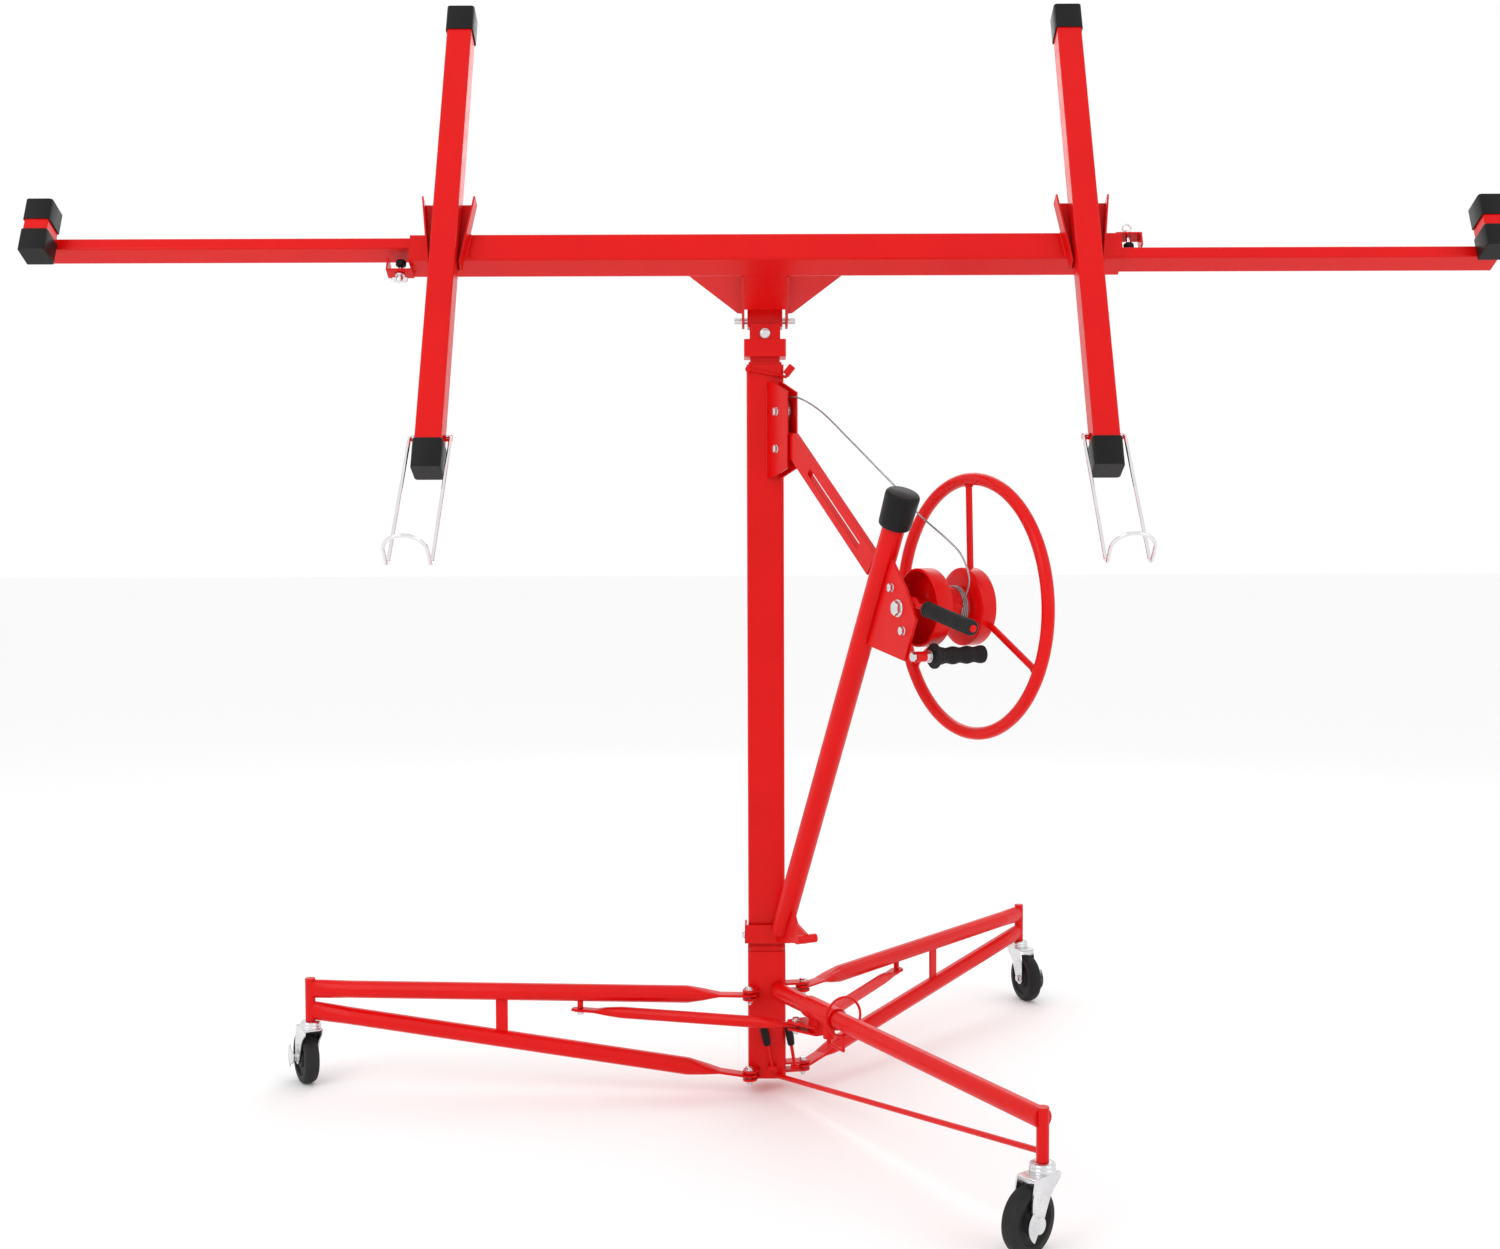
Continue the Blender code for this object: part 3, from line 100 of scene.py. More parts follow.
# clouds: soft mottling from 0 to 1, at a size given in patches per metre
clouds, given, out = node_group("clouds", {"Scale": 4.0, "Contrast": 1.0}, {"Mask": "NodeSocketFloat"})
place = node(clouds, "TexCoord")
noise = node(clouds, "TexNoise", Detail=5.0, Roughness=0.6)
centred = node(clouds, "Math", "SUBTRACT")
stretched = node(clouds, "Math", "MULTIPLY_ADD")
stretched.use_clamp = True
centred.inputs[1].default_value = 0.5
stretched.inputs[2].default_value = 0.5
join(clouds, place.outputs["Object"], noise.inputs["Vector"], given.outputs["Scale"], noise.inputs["Scale"],
     noise.outputs["Fac"], centred.inputs[0], centred.outputs[0], stretched.inputs[0],
     given.outputs["Contrast"], stretched.inputs[1], stretched.outputs[0], out.inputs["Mask"])

# worn edge: how far a rounded normal leans away from the flat one, broken up by fine noise
worn_edge, given, out = node_group("worn_edge", {"Radius": 0.0012, "Amount": 6.0},
                                   {"Mask": "NodeSocketFloat"})
place = node(worn_edge, "TexCoord")
rounded = node(worn_edge, "Bevel")
rounded.samples = 4
flat = node(worn_edge, "NewGeometry")
lean = node(worn_edge, "VectorMath", "DOT_PRODUCT")
turned_away = node(worn_edge, "Math", "SUBTRACT")
turned_away.inputs[0].default_value = 1.0
noise = node(worn_edge, "TexNoise", Scale=90.0, Detail=6.0)
patchy = node(worn_edge, "Math", "MULTIPLY")
scaled = node(worn_edge, "Math", "MULTIPLY")
scaled.use_clamp = True
join(worn_edge, given.outputs["Radius"], rounded.inputs["Radius"], rounded.outputs["Normal"], lean.inputs[0],
     flat.outputs["Normal"], lean.inputs[1], lean.outputs["Value"], turned_away.inputs[1],
     place.outputs["Object"], noise.inputs["Vector"], turned_away.outputs[0], patchy.inputs[0],
     noise.outputs["Fac"], patchy.inputs[1], patchy.outputs[0], scaled.inputs[0],
     given.outputs["Amount"], scaled.inputs[1], scaled.outputs[0], out.inputs["Mask"])


def finish_of(name, low, high, worn, roughness, bump, metallic=0.0, mottle=(5.0, 1.4), edge=(0.0012, 5.0),
              coat=0.0, specular=0.5):
    """A finish whose colour drifts from low to high in clouds and turns to the worn colour at edges.

    Roughness drifts over its two values with a finer cloud, and bump is (patches per metre, depth)."""
    material = bpy.data.materials.new(name)
    material.use_nodes = True
    tree = material.node_tree
    shader = tree.nodes["Principled BSDF"]
    shader.inputs["Metallic"].default_value = metallic
    shader.inputs["Coat Weight"].default_value = coat
    shader.inputs["Coat Roughness"].default_value = 0.07
    shader.inputs["Specular IOR Level"].default_value = specular
    patches, fine, rubbed = (tree.nodes.new("ShaderNodeGroup") for _ in range(3))
    patches.node_tree = fine.node_tree = clouds
    rubbed.node_tree = worn_edge
    patches.inputs["Scale"].default_value, patches.inputs["Contrast"].default_value = mottle
    fine.inputs["Scale"].default_value = mottle[0] * 9
    fine.inputs["Contrast"].default_value = 1.6
    rubbed.inputs["Radius"].default_value, rubbed.inputs["Amount"].default_value = edge
    colour = node(tree, "Mix")
    aged = node(tree, "Mix")
    colour.data_type = aged.data_type = "RGBA"
    colour.inputs[6].default_value = (*low, 1)
    colour.inputs[7].default_value = (*high, 1)
    aged.inputs[7].default_value = (*worn, 1)
    spread = node(tree, "MapRange", To_Min=roughness[0], To_Max=roughness[1])
    place = node(tree, "TexCoord")
    grain = node(tree, "TexNoise", Scale=bump[0], Detail=3.0)
    relief = node(tree, "Bump", Strength=0.6, Distance=bump[1])
    soft = node(tree, "Bevel", Radius=edge[0] * 0.7)
    soft.samples = 4
    join(tree, patches.outputs["Mask"], colour.inputs[0], colour.outputs[2], aged.inputs[6],
         rubbed.outputs["Mask"], aged.inputs[0], aged.outputs[2], shader.inputs["Base Color"],
         fine.outputs["Mask"], spread.inputs["Value"], spread.outputs[0], shader.inputs["Roughness"],
         place.outputs["Object"], grain.inputs["Vector"], grain.outputs["Fac"], relief.inputs["Height"],
         soft.outputs["Normal"], relief.inputs["Normal"], relief.outputs["Normal"], shader.inputs["Normal"])
    return material


RED = finish_of("red_enamel", (0.60, 0.001, 0.001), (0.74, 0.002, 0.002), (0.38, 0.005, 0.004),
                (0.26, 0.40), (420.0, 0.00012), coat=0.06, specular=0.16)


def assign(finish, *names):
    """Give CAD nodes a finish."""
    for name in names:
        mesh = frame["nodes"][name].data
        mesh.materials.clear()
        mesh.materials.append(finish)


SLOT_OF = {row["node"]: row["material_slot"] for row in frame["record"]["subparts"]}
for name, slot_name in SLOT_OF.items():
    if slot_name == "red_enamel":
        assign(RED, name)

# ---------------------------------------------------------------- seams and plate edges
# Every plate and tube is joined by a hand-laid weld: a run of overlapping puddles, painted over
# with the rest. The runs lie in the corners where two pieces meet.
JOINT = {joint["name"]: joint for joint in frame["joints"]}
UP = np.array([0.0, 0.0, 1.0])
X = np.array([1.0, 0.0, 0.0])


def spot(name):
    """The place of a joint."""
    return np.array(JOINT[name]["pos_m"])


def way(name):
    """The axis of a joint, of length one."""
    axis = np.array(JOINT[name]["axis"], float)
    return axis / np.linalg.norm(axis)


SIDE = way("winch_spin")                    # across the winch, towards its hand wheel
FRONT = way("collar_slide")                 # from the mast out along the fixed leg
TILT_PIN = spot("cradle_tilt")
MAST = np.array([TILT_PIN[0], TILT_PIN[1], 0.0])
ALONG = way("left_clamp_turn")              # up the cross arms
NORMAL = np.cross(X, ALONG)                 # from the beam towards the panel


def in_winch(reach, height, side=0.0):
    """Point by distance from the mast's axis, height, and offset towards the hand wheel."""
    return MAST + FRONT * reach + UP * height + SIDE * side


def cradle(x, normal, along):
    """Point of the cradle: along the beam, towards the panel, and up the arms."""
    return TILT_PIN + X * x + NORMAL * normal + ALONG * along


def piece(name, grids, finish, body, replaces=(), crease=40.0):
    """One object from closed grids of points, each (array of rows x columns x 3, rows round, columns round).

    Each cell of a grid is a quad; a round direction joins its last line to its first."""
    points, faces, count = [], [], 0
    for grid, round_rows, round_columns in grids:
        rows, columns = grid.shape[:2]
        index = np.arange(rows * columns).reshape(rows, columns) + count
        if round_rows:
            index = np.vstack([index, index[:1]])
        if round_columns:
            index = np.hstack([index, index[:, :1]])
        faces.append(np.stack([index[:-1, :-1], index[:-1, 1:], index[1:, 1:], index[1:, :-1]],
                              -1).reshape(-1, 4))
        points.append(grid.reshape(-1, 3))
        count += rows * columns
    mesh = bpy.data.meshes.new(name)
    mesh.from_pydata(np.concatenate(points).tolist(), [], np.concatenate(faces).tolist())
    made = bpy.data.objects.new(name, mesh)
    bpy.context.scene.collection.objects.link(made)
    close(mesh, crease)
    mesh.materials.append(finish)
    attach(made, body)
    if replaces:
        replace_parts(made, *replaces)
    return made


def close(mesh, crease):
    """Merge a mesh's poles and seams, turn its faces outwards and shade it smooth but for its creases."""
    work = bmesh.new()
    work.from_mesh(mesh)
    bmesh.ops.remove_doubles(work, verts=work.verts, dist=1e-6)
    bmesh.ops.dissolve_degenerate(work, edges=work.edges, dist=1e-7)
    bmesh.ops.recalc_face_normals(work, faces=work.faces)
    work.to_mesh(mesh)
    work.free()
    mesh.shade_smooth()
    mesh.set_sharp_from_angle(angle=math.radians(crease))


def square_to(axis):
    """Two unit vectors square to an axis and to each other."""
    axis = np.asarray(axis, float) / np.linalg.norm(axis)
    first = np.cross(axis, UP if abs(axis[2]) < 0.9 else X)
    first /= np.linalg.norm(first)
    return first, np.cross(axis, first)


def turned(profile, at, axis, around=48):
    """Surface of revolution: each (radius, height) goes round the axis at radius, height along it."""
    profile = np.array(profile, float)
    axis = np.asarray(axis, float) / np.linalg.norm(axis)
    first, second = square_to(axis)
    turn = np.linspace(0, 2 * math.pi, around, endpoint=False)
    spokes = np.cos(turn)[:, None] * first + np.sin(turn)[:, None] * second
    return (np.asarray(at) + profile[:, 0, None, None] * spokes + profile[:, 1, None, None] * axis, False,
            True)


def along_path(path):
    """Unit tangents of a path and two directions square to them, carried along without twisting."""
    ahead = np.gradient(path, axis=0)
    ahead /= np.linalg.norm(ahead, axis=1)[:, None]
    first = [square_to(ahead[0])[0]]
    for tangent in ahead[1:]:
        carried = first[-1] - tangent * (first[-1] @ tangent)
        first.append(carried / np.linalg.norm(carried))
    first = np.array(first)
    return first, np.cross(ahead, first)


def swept(path, radius, around=16, lobes=0, depth=0.0, twist=0.0):
    """Tube on a path: radius x (1 + depth cos(lobes x (angle - twist x distance))), its ends closed."""
    path = np.array(path, float)
    first, second = along_path(path)
    run = np.concatenate([[0], np.cumsum(np.linalg.norm(np.diff(path, axis=0), axis=1))])
    turn = np.linspace(0, 2 * math.pi, around, endpoint=False)
    lobed = 1 + depth * np.cos(lobes * (turn - twist * run[:, None]))
    size = np.broadcast_to(radius, len(path))[:, None] * lobed
    around_path = np.cos(turn)[:, None] * first[:, None] + np.sin(turn)[:, None] * second[:, None]
    ring = path[:, None] + size[..., None] * around_path
    ends = [np.repeat(path[at][None, None], around, 1) for at in (0, -1)]
    return (np.concatenate([ends[0], ring, ends[1]]), False, True)


def weld(start, end, radius=0.0022):
    """A straight seam: radius swells and sinks by a fifth at each puddle, one puddle every 3 mm."""
    start, end = np.array(start), np.array(end)
    length = np.linalg.norm(end - start)
    share = np.linspace(0, 1, max(8, int(length / 0.0006)))
    path = start + share[:, None] * (end - start)
    tips = np.clip(np.minimum(share, 1 - share) * length / 0.002, 0.15, 1) ** 0.5
    return swept(path, radius * tips * (1 + 0.2 * np.abs(np.sin(math.pi * share * length / 0.003))), 10)


mast_front, mast_half_x = -0.0300, 0.0340          # faces of the outer channel, from the mast's axis
cheek_out = 0.0110                                  # outer faces of the winch bracket's two cheeks
seams = []
for side in (-1, 1):
    root = (-mast_front + side * cheek_out * SIDE[1]) / -FRONT[1]
    seams.append(weld(in_winch(root, 1.145, side * cheek_out), in_winch(root, 1.308, side * cheek_out)))
seams.append(weld(MAST + [-mast_half_x + 0.004, mast_front, 0.272],
                  MAST + [mast_half_x - 0.004, mast_front, 0.272], 0.0018))
piece("mast_seams", seams, RED, "base")

beam_back, beam_middle, beam_front, beam_half, beam_end = 0.183, 0.211, 0.239, 0.026, 0.614
arm_x = 0.547
seams = []
for side in (-1, 1):
    seams.append(weld(cradle(side * 0.0425, beam_back, -0.024), cradle(side * 0.0425, beam_back, 0.024)))
    for lift in (-0.0025, 0.0025):
        seams.append(weld(cradle(side * 0.046, beam_back, lift), cradle(side * 0.156, beam_back, lift),
                          0.0018))
    for flank in (-1, 1):
        low, high = side * arm_x + flank * 0.0316, side * arm_x + flank * 0.0384
        seams.append(weld(cradle(low, beam_front, -0.025), cradle(high, beam_front, 0.025)))
    mouth = side * (beam_end - 0.0052)
    seams.append(weld(cradle(mouth, beam_middle - 0.012, side * beam_half),
                      cradle(mouth, beam_middle + 0.012, side * beam_half), 0.0018))
piece("cradle_seams", seams, RED, "cradle")

for name, side in (("left", -1), ("right", 1)):
    shift = -side * 0.0118
    rail_half = 0.01075
    seams = [weld(cradle(side * 1.263, 0.2335, shift + flank), cradle(side * 1.227, 0.2335, shift + flank),
                  0.0017)
             for flank in (rail_half, -rail_half)]
    piece(f"{name}_outrigger_seams", seams, RED, f"{name}_outrigger")

# ---------------------------------------------------------------- zinc-plated bolts
# Hexagon bolts, nuts and washers in bright zinc plate. A head is a hexagon cut by a shallow cone,
# so its top is a disc and its flanks end in arcs; the threaded end stands out of its nut.
ZINC = finish_of("zinc_plate", (0.60, 0.61, 0.63), (0.80, 0.80, 0.81), (0.42, 0.40, 0.36),
                 (0.18, 0.36), (900.0, 0.00004), metallic=1.0, mottle=(30.0, 1.8), edge=(0.0006, 3.0))


def hexagon(at, axis, across, height):
    """Bolt head: flat distance r(angle) = apothem / cos(angle within its side), cut by a 30 degree cone."""
    axis = np.asarray(axis, float) / np.linalg.norm(axis)
    first, second = square_to(axis)
    turn = np.linspace(0, 2 * math.pi, 48, endpoint=False)
    apothem = across / 2
    outer = apothem / np.cos((turn + math.pi / 6) % (math.pi / 3) - math.pi / 6)
    cut = height - (outer - apothem * 0.94) * 0.58
    reach = np.stack([outer * 0, outer * 0, outer * 0 + apothem * 0.94, outer, outer, outer * 0])
    rise = np.stack([cut * 0 + height, cut * 0 + height, cut * 0 + height, cut, cut * 0, cut * 0])
    spokes = np.cos(turn)[:, None] * first + np.sin(turn)[:, None] * second
    return (np.asarray(at) + reach[..., None] * spokes + rise[..., None] * axis, False, True)


def threaded(at, axis, radius, length, pitch=0.0012):
    """Bolt end: rings whose radius saws between crest and root every pitch, with a rounded tip."""
    steps = np.arange(0, length, pitch / 2)
    profile = [(0, 0), (radius, 0)] + [(radius - (0.07 * radius if n % 2 else 0), h) for n,
                                       h in enumerate(steps) if h]
    profile += [(radius * 0.75, length), (0, length + radius * 0.1)]
    return turned(profile, at, axis, 24)


def washer(at, axis, radius, thick=0.0014):
    """Flat round washer with rounded rim, standing on a face."""
    return turned([(0, 0), (radius, 0), (radius + 0.0002, thick * 0.3), (radius, thick * 0.8),
                   (radius * 0.97, thick),
                   (0, thick)], at, axis, 36)


def through_bolt(start, end, across=0.011, radius=0.0038, head=0.0045, tail=0.003):
    """Head with a washer at the start, shank through, and a washer, nut and threaded tail at the end."""
    start, end = np.array(start), np.array(end)
    axis = (end - start) / np.linalg.norm(end - start)
    return [washer(start, -axis, across * 0.62), hexagon(start - axis * 0.0014, -axis, across, head),
            turned([(0, 0), (radius, 0), (radius, np.linalg.norm(end - start)),
                    (0, np.linalg.norm(end - start))],
                   start, axis, 24),
            washer(end, axis, across * 0.62), hexagon(end + axis * 0.0014, axis, across, head * 0.9),
            threaded(end + axis * (0.0014 + head * 0.9), axis, radius, tail)]


for name, fold in (("left", spot("left_leg_fold")), ("right", spot("right_leg_fold"))):
    upper, lower = fold[2], 0.037
    lug = 0.00945
    ends = [fold * [1, 1, 0] + UP * z for z in (upper + lug, upper - lug, lower + lug, lower - lug)]
    piece(f"{name}_hinge_bolts", through_bolt(ends[0], ends[1]) + through_bolt(ends[2], ends[3]), ZINC,
          "base",
          [f"{name}_hinge_bolt"])
ear, post_at, link_low = 0.0080, 0.315, 0.1522
for name in ("left", "right"):
    pin = spot(f"{name}_link_swing")
    piece(f"{name}_link_bolt", through_bolt(pin + UP * ear, pin - UP * ear), ZINC, "collar")
    fold, head = spot(f"{name}_leg_fold"), spot(f"{name}_caster_swivel")
    along = (head - fold) * [1, 1, 0]
    under = (fold + along / np.linalg.norm(along) * post_at) * [1, 1, 0] + UP * link_low
    piece(f"{name}_link_end_bolt", [washer(under, -UP, 0.0068),
                                    hexagon(under - UP * 0.0014, -UP, 0.011, 0.0045)],
          ZINC, f"{name}_link")
pulley = spot("guide_pulley_spin")
lower_bolt = pulley - UP * 0.0674
for name, centre in (("upper", pulley), ("lower", lower_bolt)):
    piece(f"bracket_bolt_{name}_detail", through_bolt(centre - SIDE * cheek_out, centre + SIDE * cheek_out,
                                                      0.013),
          ZINC, "base", [f"bracket_bolt_{name}"])
plate_half = 0.0025
grids = []
for reach, height in ((0.446, 0.948), (0.481, 0.879)):
    grids += [washer(in_winch(reach, height, -plate_half), -SIDE, 0.0075),
              hexagon(in_winch(reach, height, -plate_half - 0.0014), -SIDE, 0.0125, 0.005)]
piece("plate_bolts", grids, ZINC, "base")
piece("foot_bolt", [washer(MAST + [-0.0405, -0.040, 0.295], -X, 0.0062),
                    hexagon(MAST + [-0.0419, -0.040, 0.295], -X, 0.010, 0.004)], ZINC, "base")
rock = spot("side_tilt")
face_y = np.array([0, 0.0372, 0])
piece("side_tilt_bolt_detail", through_bolt(rock - face_y, rock + face_y, 0.015, 0.0048, 0.0055), ZINC,
      "mast_inner", ["side_tilt_bolt"])
pin_half, bore = 0.056, 0.0038
tube = [(bore, -pin_half), (0.0056, -pin_half), (0.0063, -pin_half + 0.0008), (0.0063, pin_half - 0.0008),
        (0.0056, pin_half), (bore, pin_half)]
grid, _, _ = turned(tube, TILT_PIN, X, 40)
piece("tilt_pin_tube", [(grid, True, True)], ZINC, "tilt_head", ["tilt_pin"])
axle = spot("winch_spin")
profile = [(0, -0.0105), (0.0062, -0.0105), (0.0074, -0.0095), (0.0075, 0.157), (0.0068, 0.158), (0, 0.158)]
piece("winch_axle_detail", [turned(profile, axle, SIDE, 32),
                            washer(axle - SIDE * plate_half, -SIDE, 0.0145, 0.0018),
                            hexagon(axle - SIDE * 0.0043, -SIDE, 0.0215, 0.0068),
                            hexagon(axle + SIDE * 0.1485, SIDE, 0.0195, 0.0075)], ZINC, "base",
                            ["winch_axle"])

# ---------------------------------------------------------------- hand wheel, spool and brake cup
# Wheel: a bent tube ring on three thin rods, welded to the spool's outer flange. The cup and the
# spool are pressed and turned steel, enamelled red like the rest.
ring_radius, ring_tube, hub = 0.211, 0.0105, spot("winch_spin") + SIDE * 0.140
circle = np.linspace(0, 2 * math.pi, 20, endpoint=False)
section = np.stack([ring_radius + ring_tube * np.cos(circle), ring_tube * np.sin(circle)], 1)
grid, _, _ = turned(section, hub, SIDE, 144)
grids = [(grid, True, True)]
for angle in (math.radians(92), math.radians(212), math.radians(332)):
    out = FRONT * math.cos(angle) + UP * math.sin(angle)
    grids.append(swept([hub + out * 0.057, hub + out * 0.130, hub + out * (ring_radius - 0.004)], 0.0055, 20))
    grids.append(swept([hub + out * (ring_radius - 0.0125), hub + out * (ring_radius - 0.0095)], 0.0072, 20))
flange = [(0.0078, 0.1165), (0.0500, 0.1165), (0.0625, 0.1195), (0.0645, 0.1212), (0.0645, 0.1445),
          (0.0636, 0.1466),
          (0.0600, 0.1480), (0.0240, 0.1480), (0.0215, 0.1465), (0.0078, 0.1465)]
grid, _, _ = turned(flange, axle, SIDE, 96)
grids.append((grid, True, True))
piece("hand_wheel_detail", grids, RED, "winch_drum", ["hand_wheel"])

cup = [(0.0078, 0.010), (0.0125, 0.010), (0.0130, 0.0105), (0.0130, 0.0555), (0.0140, 0.0560),
       (0.0575, 0.0560),
       (0.0592, 0.0545), (0.0595, 0.0345), (0.0602, 0.0332), (0.0630, 0.0330), (0.0644, 0.0340),
       (0.0645, 0.0600),
       (0.0630, 0.0625), (0.0500, 0.0660), (0.0345, 0.0672), (0.0330, 0.0690), (0.0330, 0.1150),
       (0.0338, 0.1162),
       (0.0078, 0.1162)]
grid, _, _ = turned(cup, axle, SIDE, 96)
piece("brake_cup_and_spool", [(grid, True, True)], RED, "winch_drum", ["winch_drum"])

# ---------------------------------------------------------------- lifting cable
# Galvanised rope of six strands about a core: laid from the drum up in a slack bow to the bracket,
# over the guide pulley and down the mast. Its last turns lie side by side at the spool's outer flange.
ROPE = finish_of("wire_rope", (0.22, 0.22, 0.22), (0.46, 0.46, 0.46), (0.60, 0.60, 0.60),
                 (0.28, 0.50), (1500.0, 0.00006), metallic=1.0, mottle=(60.0, 2.0), edge=(0.0004, 2.0))
cable_radius, groove = 0.0016, 0.0234
route = [(0.1236, 0.0000, 1.2795), (0.2050, 0.0020, 1.2500), (0.2895, 0.0120, 1.1955),
         (0.3577, 0.0300, 1.1410),
         (0.3930, 0.0450, 1.1080), (0.4270, 0.0600, 1.0700), (0.4820, 0.0850, 1.0240),
         (0.5050, 0.0960, 0.9980),
         (0.5190, 0.1000, 0.9600), (0.5010, 0.1000, 0.9200)]


def flowing(points, steps):
    """Catmull-Rom curve: each span is a cubic whose end slopes are half the chord between its neighbours."""
    points = np.array(points, float)
    padded = np.vstack([2 * points[0] - points[1], points, 2 * points[-1] - points[-2]])
    a, b, c, d = padded[:-3, None], padded[1:-2, None], padded[2:-1, None], padded[3:, None]
    t = np.linspace(0, 1, steps, endpoint=False)[None, :, None]
    path = (2 * b + (c - a) * t + (2 * a - 5 * b + 4 * c - d) * t ** 2 + (3 * b - a - 3 * c + d) * t ** 3) / 2
    return np.vstack([path.reshape(-1, 3), points[-1:]])


down_run = [in_winch(0.0640 - groove, height) for height in (1.150, 1.185, 1.220)]
over = [pulley + FRONT * groove * math.cos(turn) + UP * groove * math.sin(turn)
        for turn in np.radians(180 - 14 * np.arange(8))]
path = flowing(down_run + over + [in_winch(reach, height, side) for reach, side, height in route], 30)
piece("lifting_rope", [swept(path, cable_radius * 0.92, 18, 6, 0.09, 180.0)], ROPE, "base",
      ["lift_cable"], 80)
turn = np.linspace(0, 2 * math.pi * 3.5, 360)
wound, first_turn = 0.0339, 0.0996
coil = (axle + wound * (np.cos(turn)[:, None] * FRONT - np.sin(turn)[:, None] * UP)
        + (first_turn + 0.0036 * turn / (2 * math.pi))[:, None] * SIDE)
piece("wound_rope", [swept(coil, cable_radius * 0.94, 10)], ROPE, "winch_drum", (), 80)
assign(ZINC, "guide_pulley")

# ---------------------------------------------------------------- black grips
# Brake grip: soft moulded rubber pushed over the lever, with shallow rings and a rounded end held
# by a red rivet. Steady grip: the same rubber with a hand flange, on its long bolt.
RUBBER = finish_of("black_rubber", (0.010, 0.010, 0.011), (0.024, 0.024, 0.025), (0.05, 0.05, 0.05),
                   (0.42, 0.62), (700.0, 0.00010), mottle=(14.0, 1.5), edge=(0.0010, 2.0), specular=0.12)
lever = spot("brake_lever_pull")
droop = math.radians(-11)
out = FRONT * math.cos(droop) + UP * math.sin(droop)
step = np.arange(0.050, 0.166, 0.0009)
ribs = np.stack([0.0125 - 0.0011 * (np.cos(2 * math.pi * (step - 0.05) / 0.0072) > 0.55), step], 1)
profile = [(0, 0.0432), (0.0118, 0.0432), (0.0130, 0.0445), (0.0130, 0.0495), *ribs.tolist(),
           (0.0128, 0.168), (0.0118, 0.172),
           (0.0090, 0.1745), (0, 0.175)]
piece("brake_grip_ribbed", [turned(profile, lever, out, 56)], RUBBER, "brake_lever",
      ["brake_grip"], 35)
piece("brake_grip_rivet", [turned([(0, 0.174), (0.0060, 0.174), (0.0058, 0.1758), (0.0040, 0.1772),
                                   (0, 0.1778)],
                                  lever, out, 32)], RED, "brake_lever")
steady = in_winch(0.512, 0.8385)
step = np.arange(0.046, 0.127, 0.0010)
swell = 0.0138 + 0.0011 * np.cos(2 * math.pi * (step - 0.046) / 0.0270)
ribs = np.stack([swell - 0.0006 * (np.cos(2 * math.pi * step / 0.0045) > 0.4), step], 1)
profile = [(0, 0.0345), (0.0195, 0.0345), (0.0207, 0.0358), (0.0207, 0.0390), (0.0195, 0.0402),
           (0.0150, 0.0430),
           *ribs.tolist(), (0.0150, 0.1285), (0.0142, 0.1317), (0.0125, 0.1325), (0, 0.1325)]
piece("steady_grip_ribbed", [turned(profile, steady, SIDE, 56)], RUBBER, "base",
      ["steady_grip"], 35)
shank = [(0, -0.004), (0.0040, -0.004), (0.0040, 0.120), (0, 0.120)]
piece("steady_bolt_detail", [turned(shank, steady, SIDE, 24),
                             hexagon(steady + SIDE * 0.0202, SIDE, 0.0145, 0.0070),
                             washer(steady + SIDE * 0.0272, SIDE, 0.0105),
                             hexagon(steady, -SIDE, 0.0130, 0.0060)],
      ZINC, "base", ["steady_handle_bolt"])

# ---------------------------------------------------------------- black plastic caps
# End caps of the arms, outriggers and winch tube: injection-moulded shells with softened edges and a
# fine pebbled skin, pushed over the tube's end.
PLASTIC = finish_of("black_plastic", (0.006, 0.006, 0.006), (0.014, 0.013, 0.013), (0.05, 0.05, 0.05),
                    (0.30, 0.46), (1100.0, 0.00006), mottle=(10.0, 1.2), edge=(0.0020, 1.5), specular=0.14)


def softened(name, finish, width=0.0012, segments=3):
    """A merged copy of a CAD node with its flat faces joined and its edges rounded, shown in its place."""
    source = frame["nodes"][name]
    mesh = source.data.copy()
    work = bmesh.new()
    work.from_mesh(mesh)
    bmesh.ops.remove_doubles(work, verts=work.verts, dist=2e-6)
    bmesh.ops.dissolve_limit(work, angle_limit=math.radians(1), verts=work.verts, edges=work.edges)
    work.to_mesh(mesh)
    work.free()
    mesh.materials.clear()
    mesh.materials.append(finish)
    made = bpy.data.objects.new(name + "_rounded", mesh)
    bpy.context.scene.collection.objects.link(made)
    edge = made.modifiers.new("rounded edges", "BEVEL")
    edge.width, edge.segments = width, segments
    edge.limit_method, edge.angle_limit = "ANGLE", math.radians(40)
    edge.use_clamp_overlap = True
    edge.harden_normals = False
    mesh.shade_smooth()
    mesh.set_sharp_from_angle(angle=math.radians(50))
    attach(made, source["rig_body"])
    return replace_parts(made, name)


for name, slot_name in SLOT_OF.items():
    if "_cap_" in name:
        softened(name, PLASTIC, 0.0028, 4)
tube_low, tube_high = in_winch(0.0594, 0.305), in_winch(0.4747, 1.0951)
lean = (tube_high - tube_low) / np.linalg.norm(tube_high - tube_low)
profile = [(0, -0.052), (0.0258, -0.052), (0.0268, -0.0505), (0.0272, -0.046), (0.0290, 0.000),
           (0.0286, 0.004),
           (0.0268, 0.0068), (0.0240, 0.0078), (0, 0.0080)]
piece("winch_cap_moulded", [turned(profile, tube_high, lean, 72)], PLASTIC, "base",
      ["winch_tube_cap"])

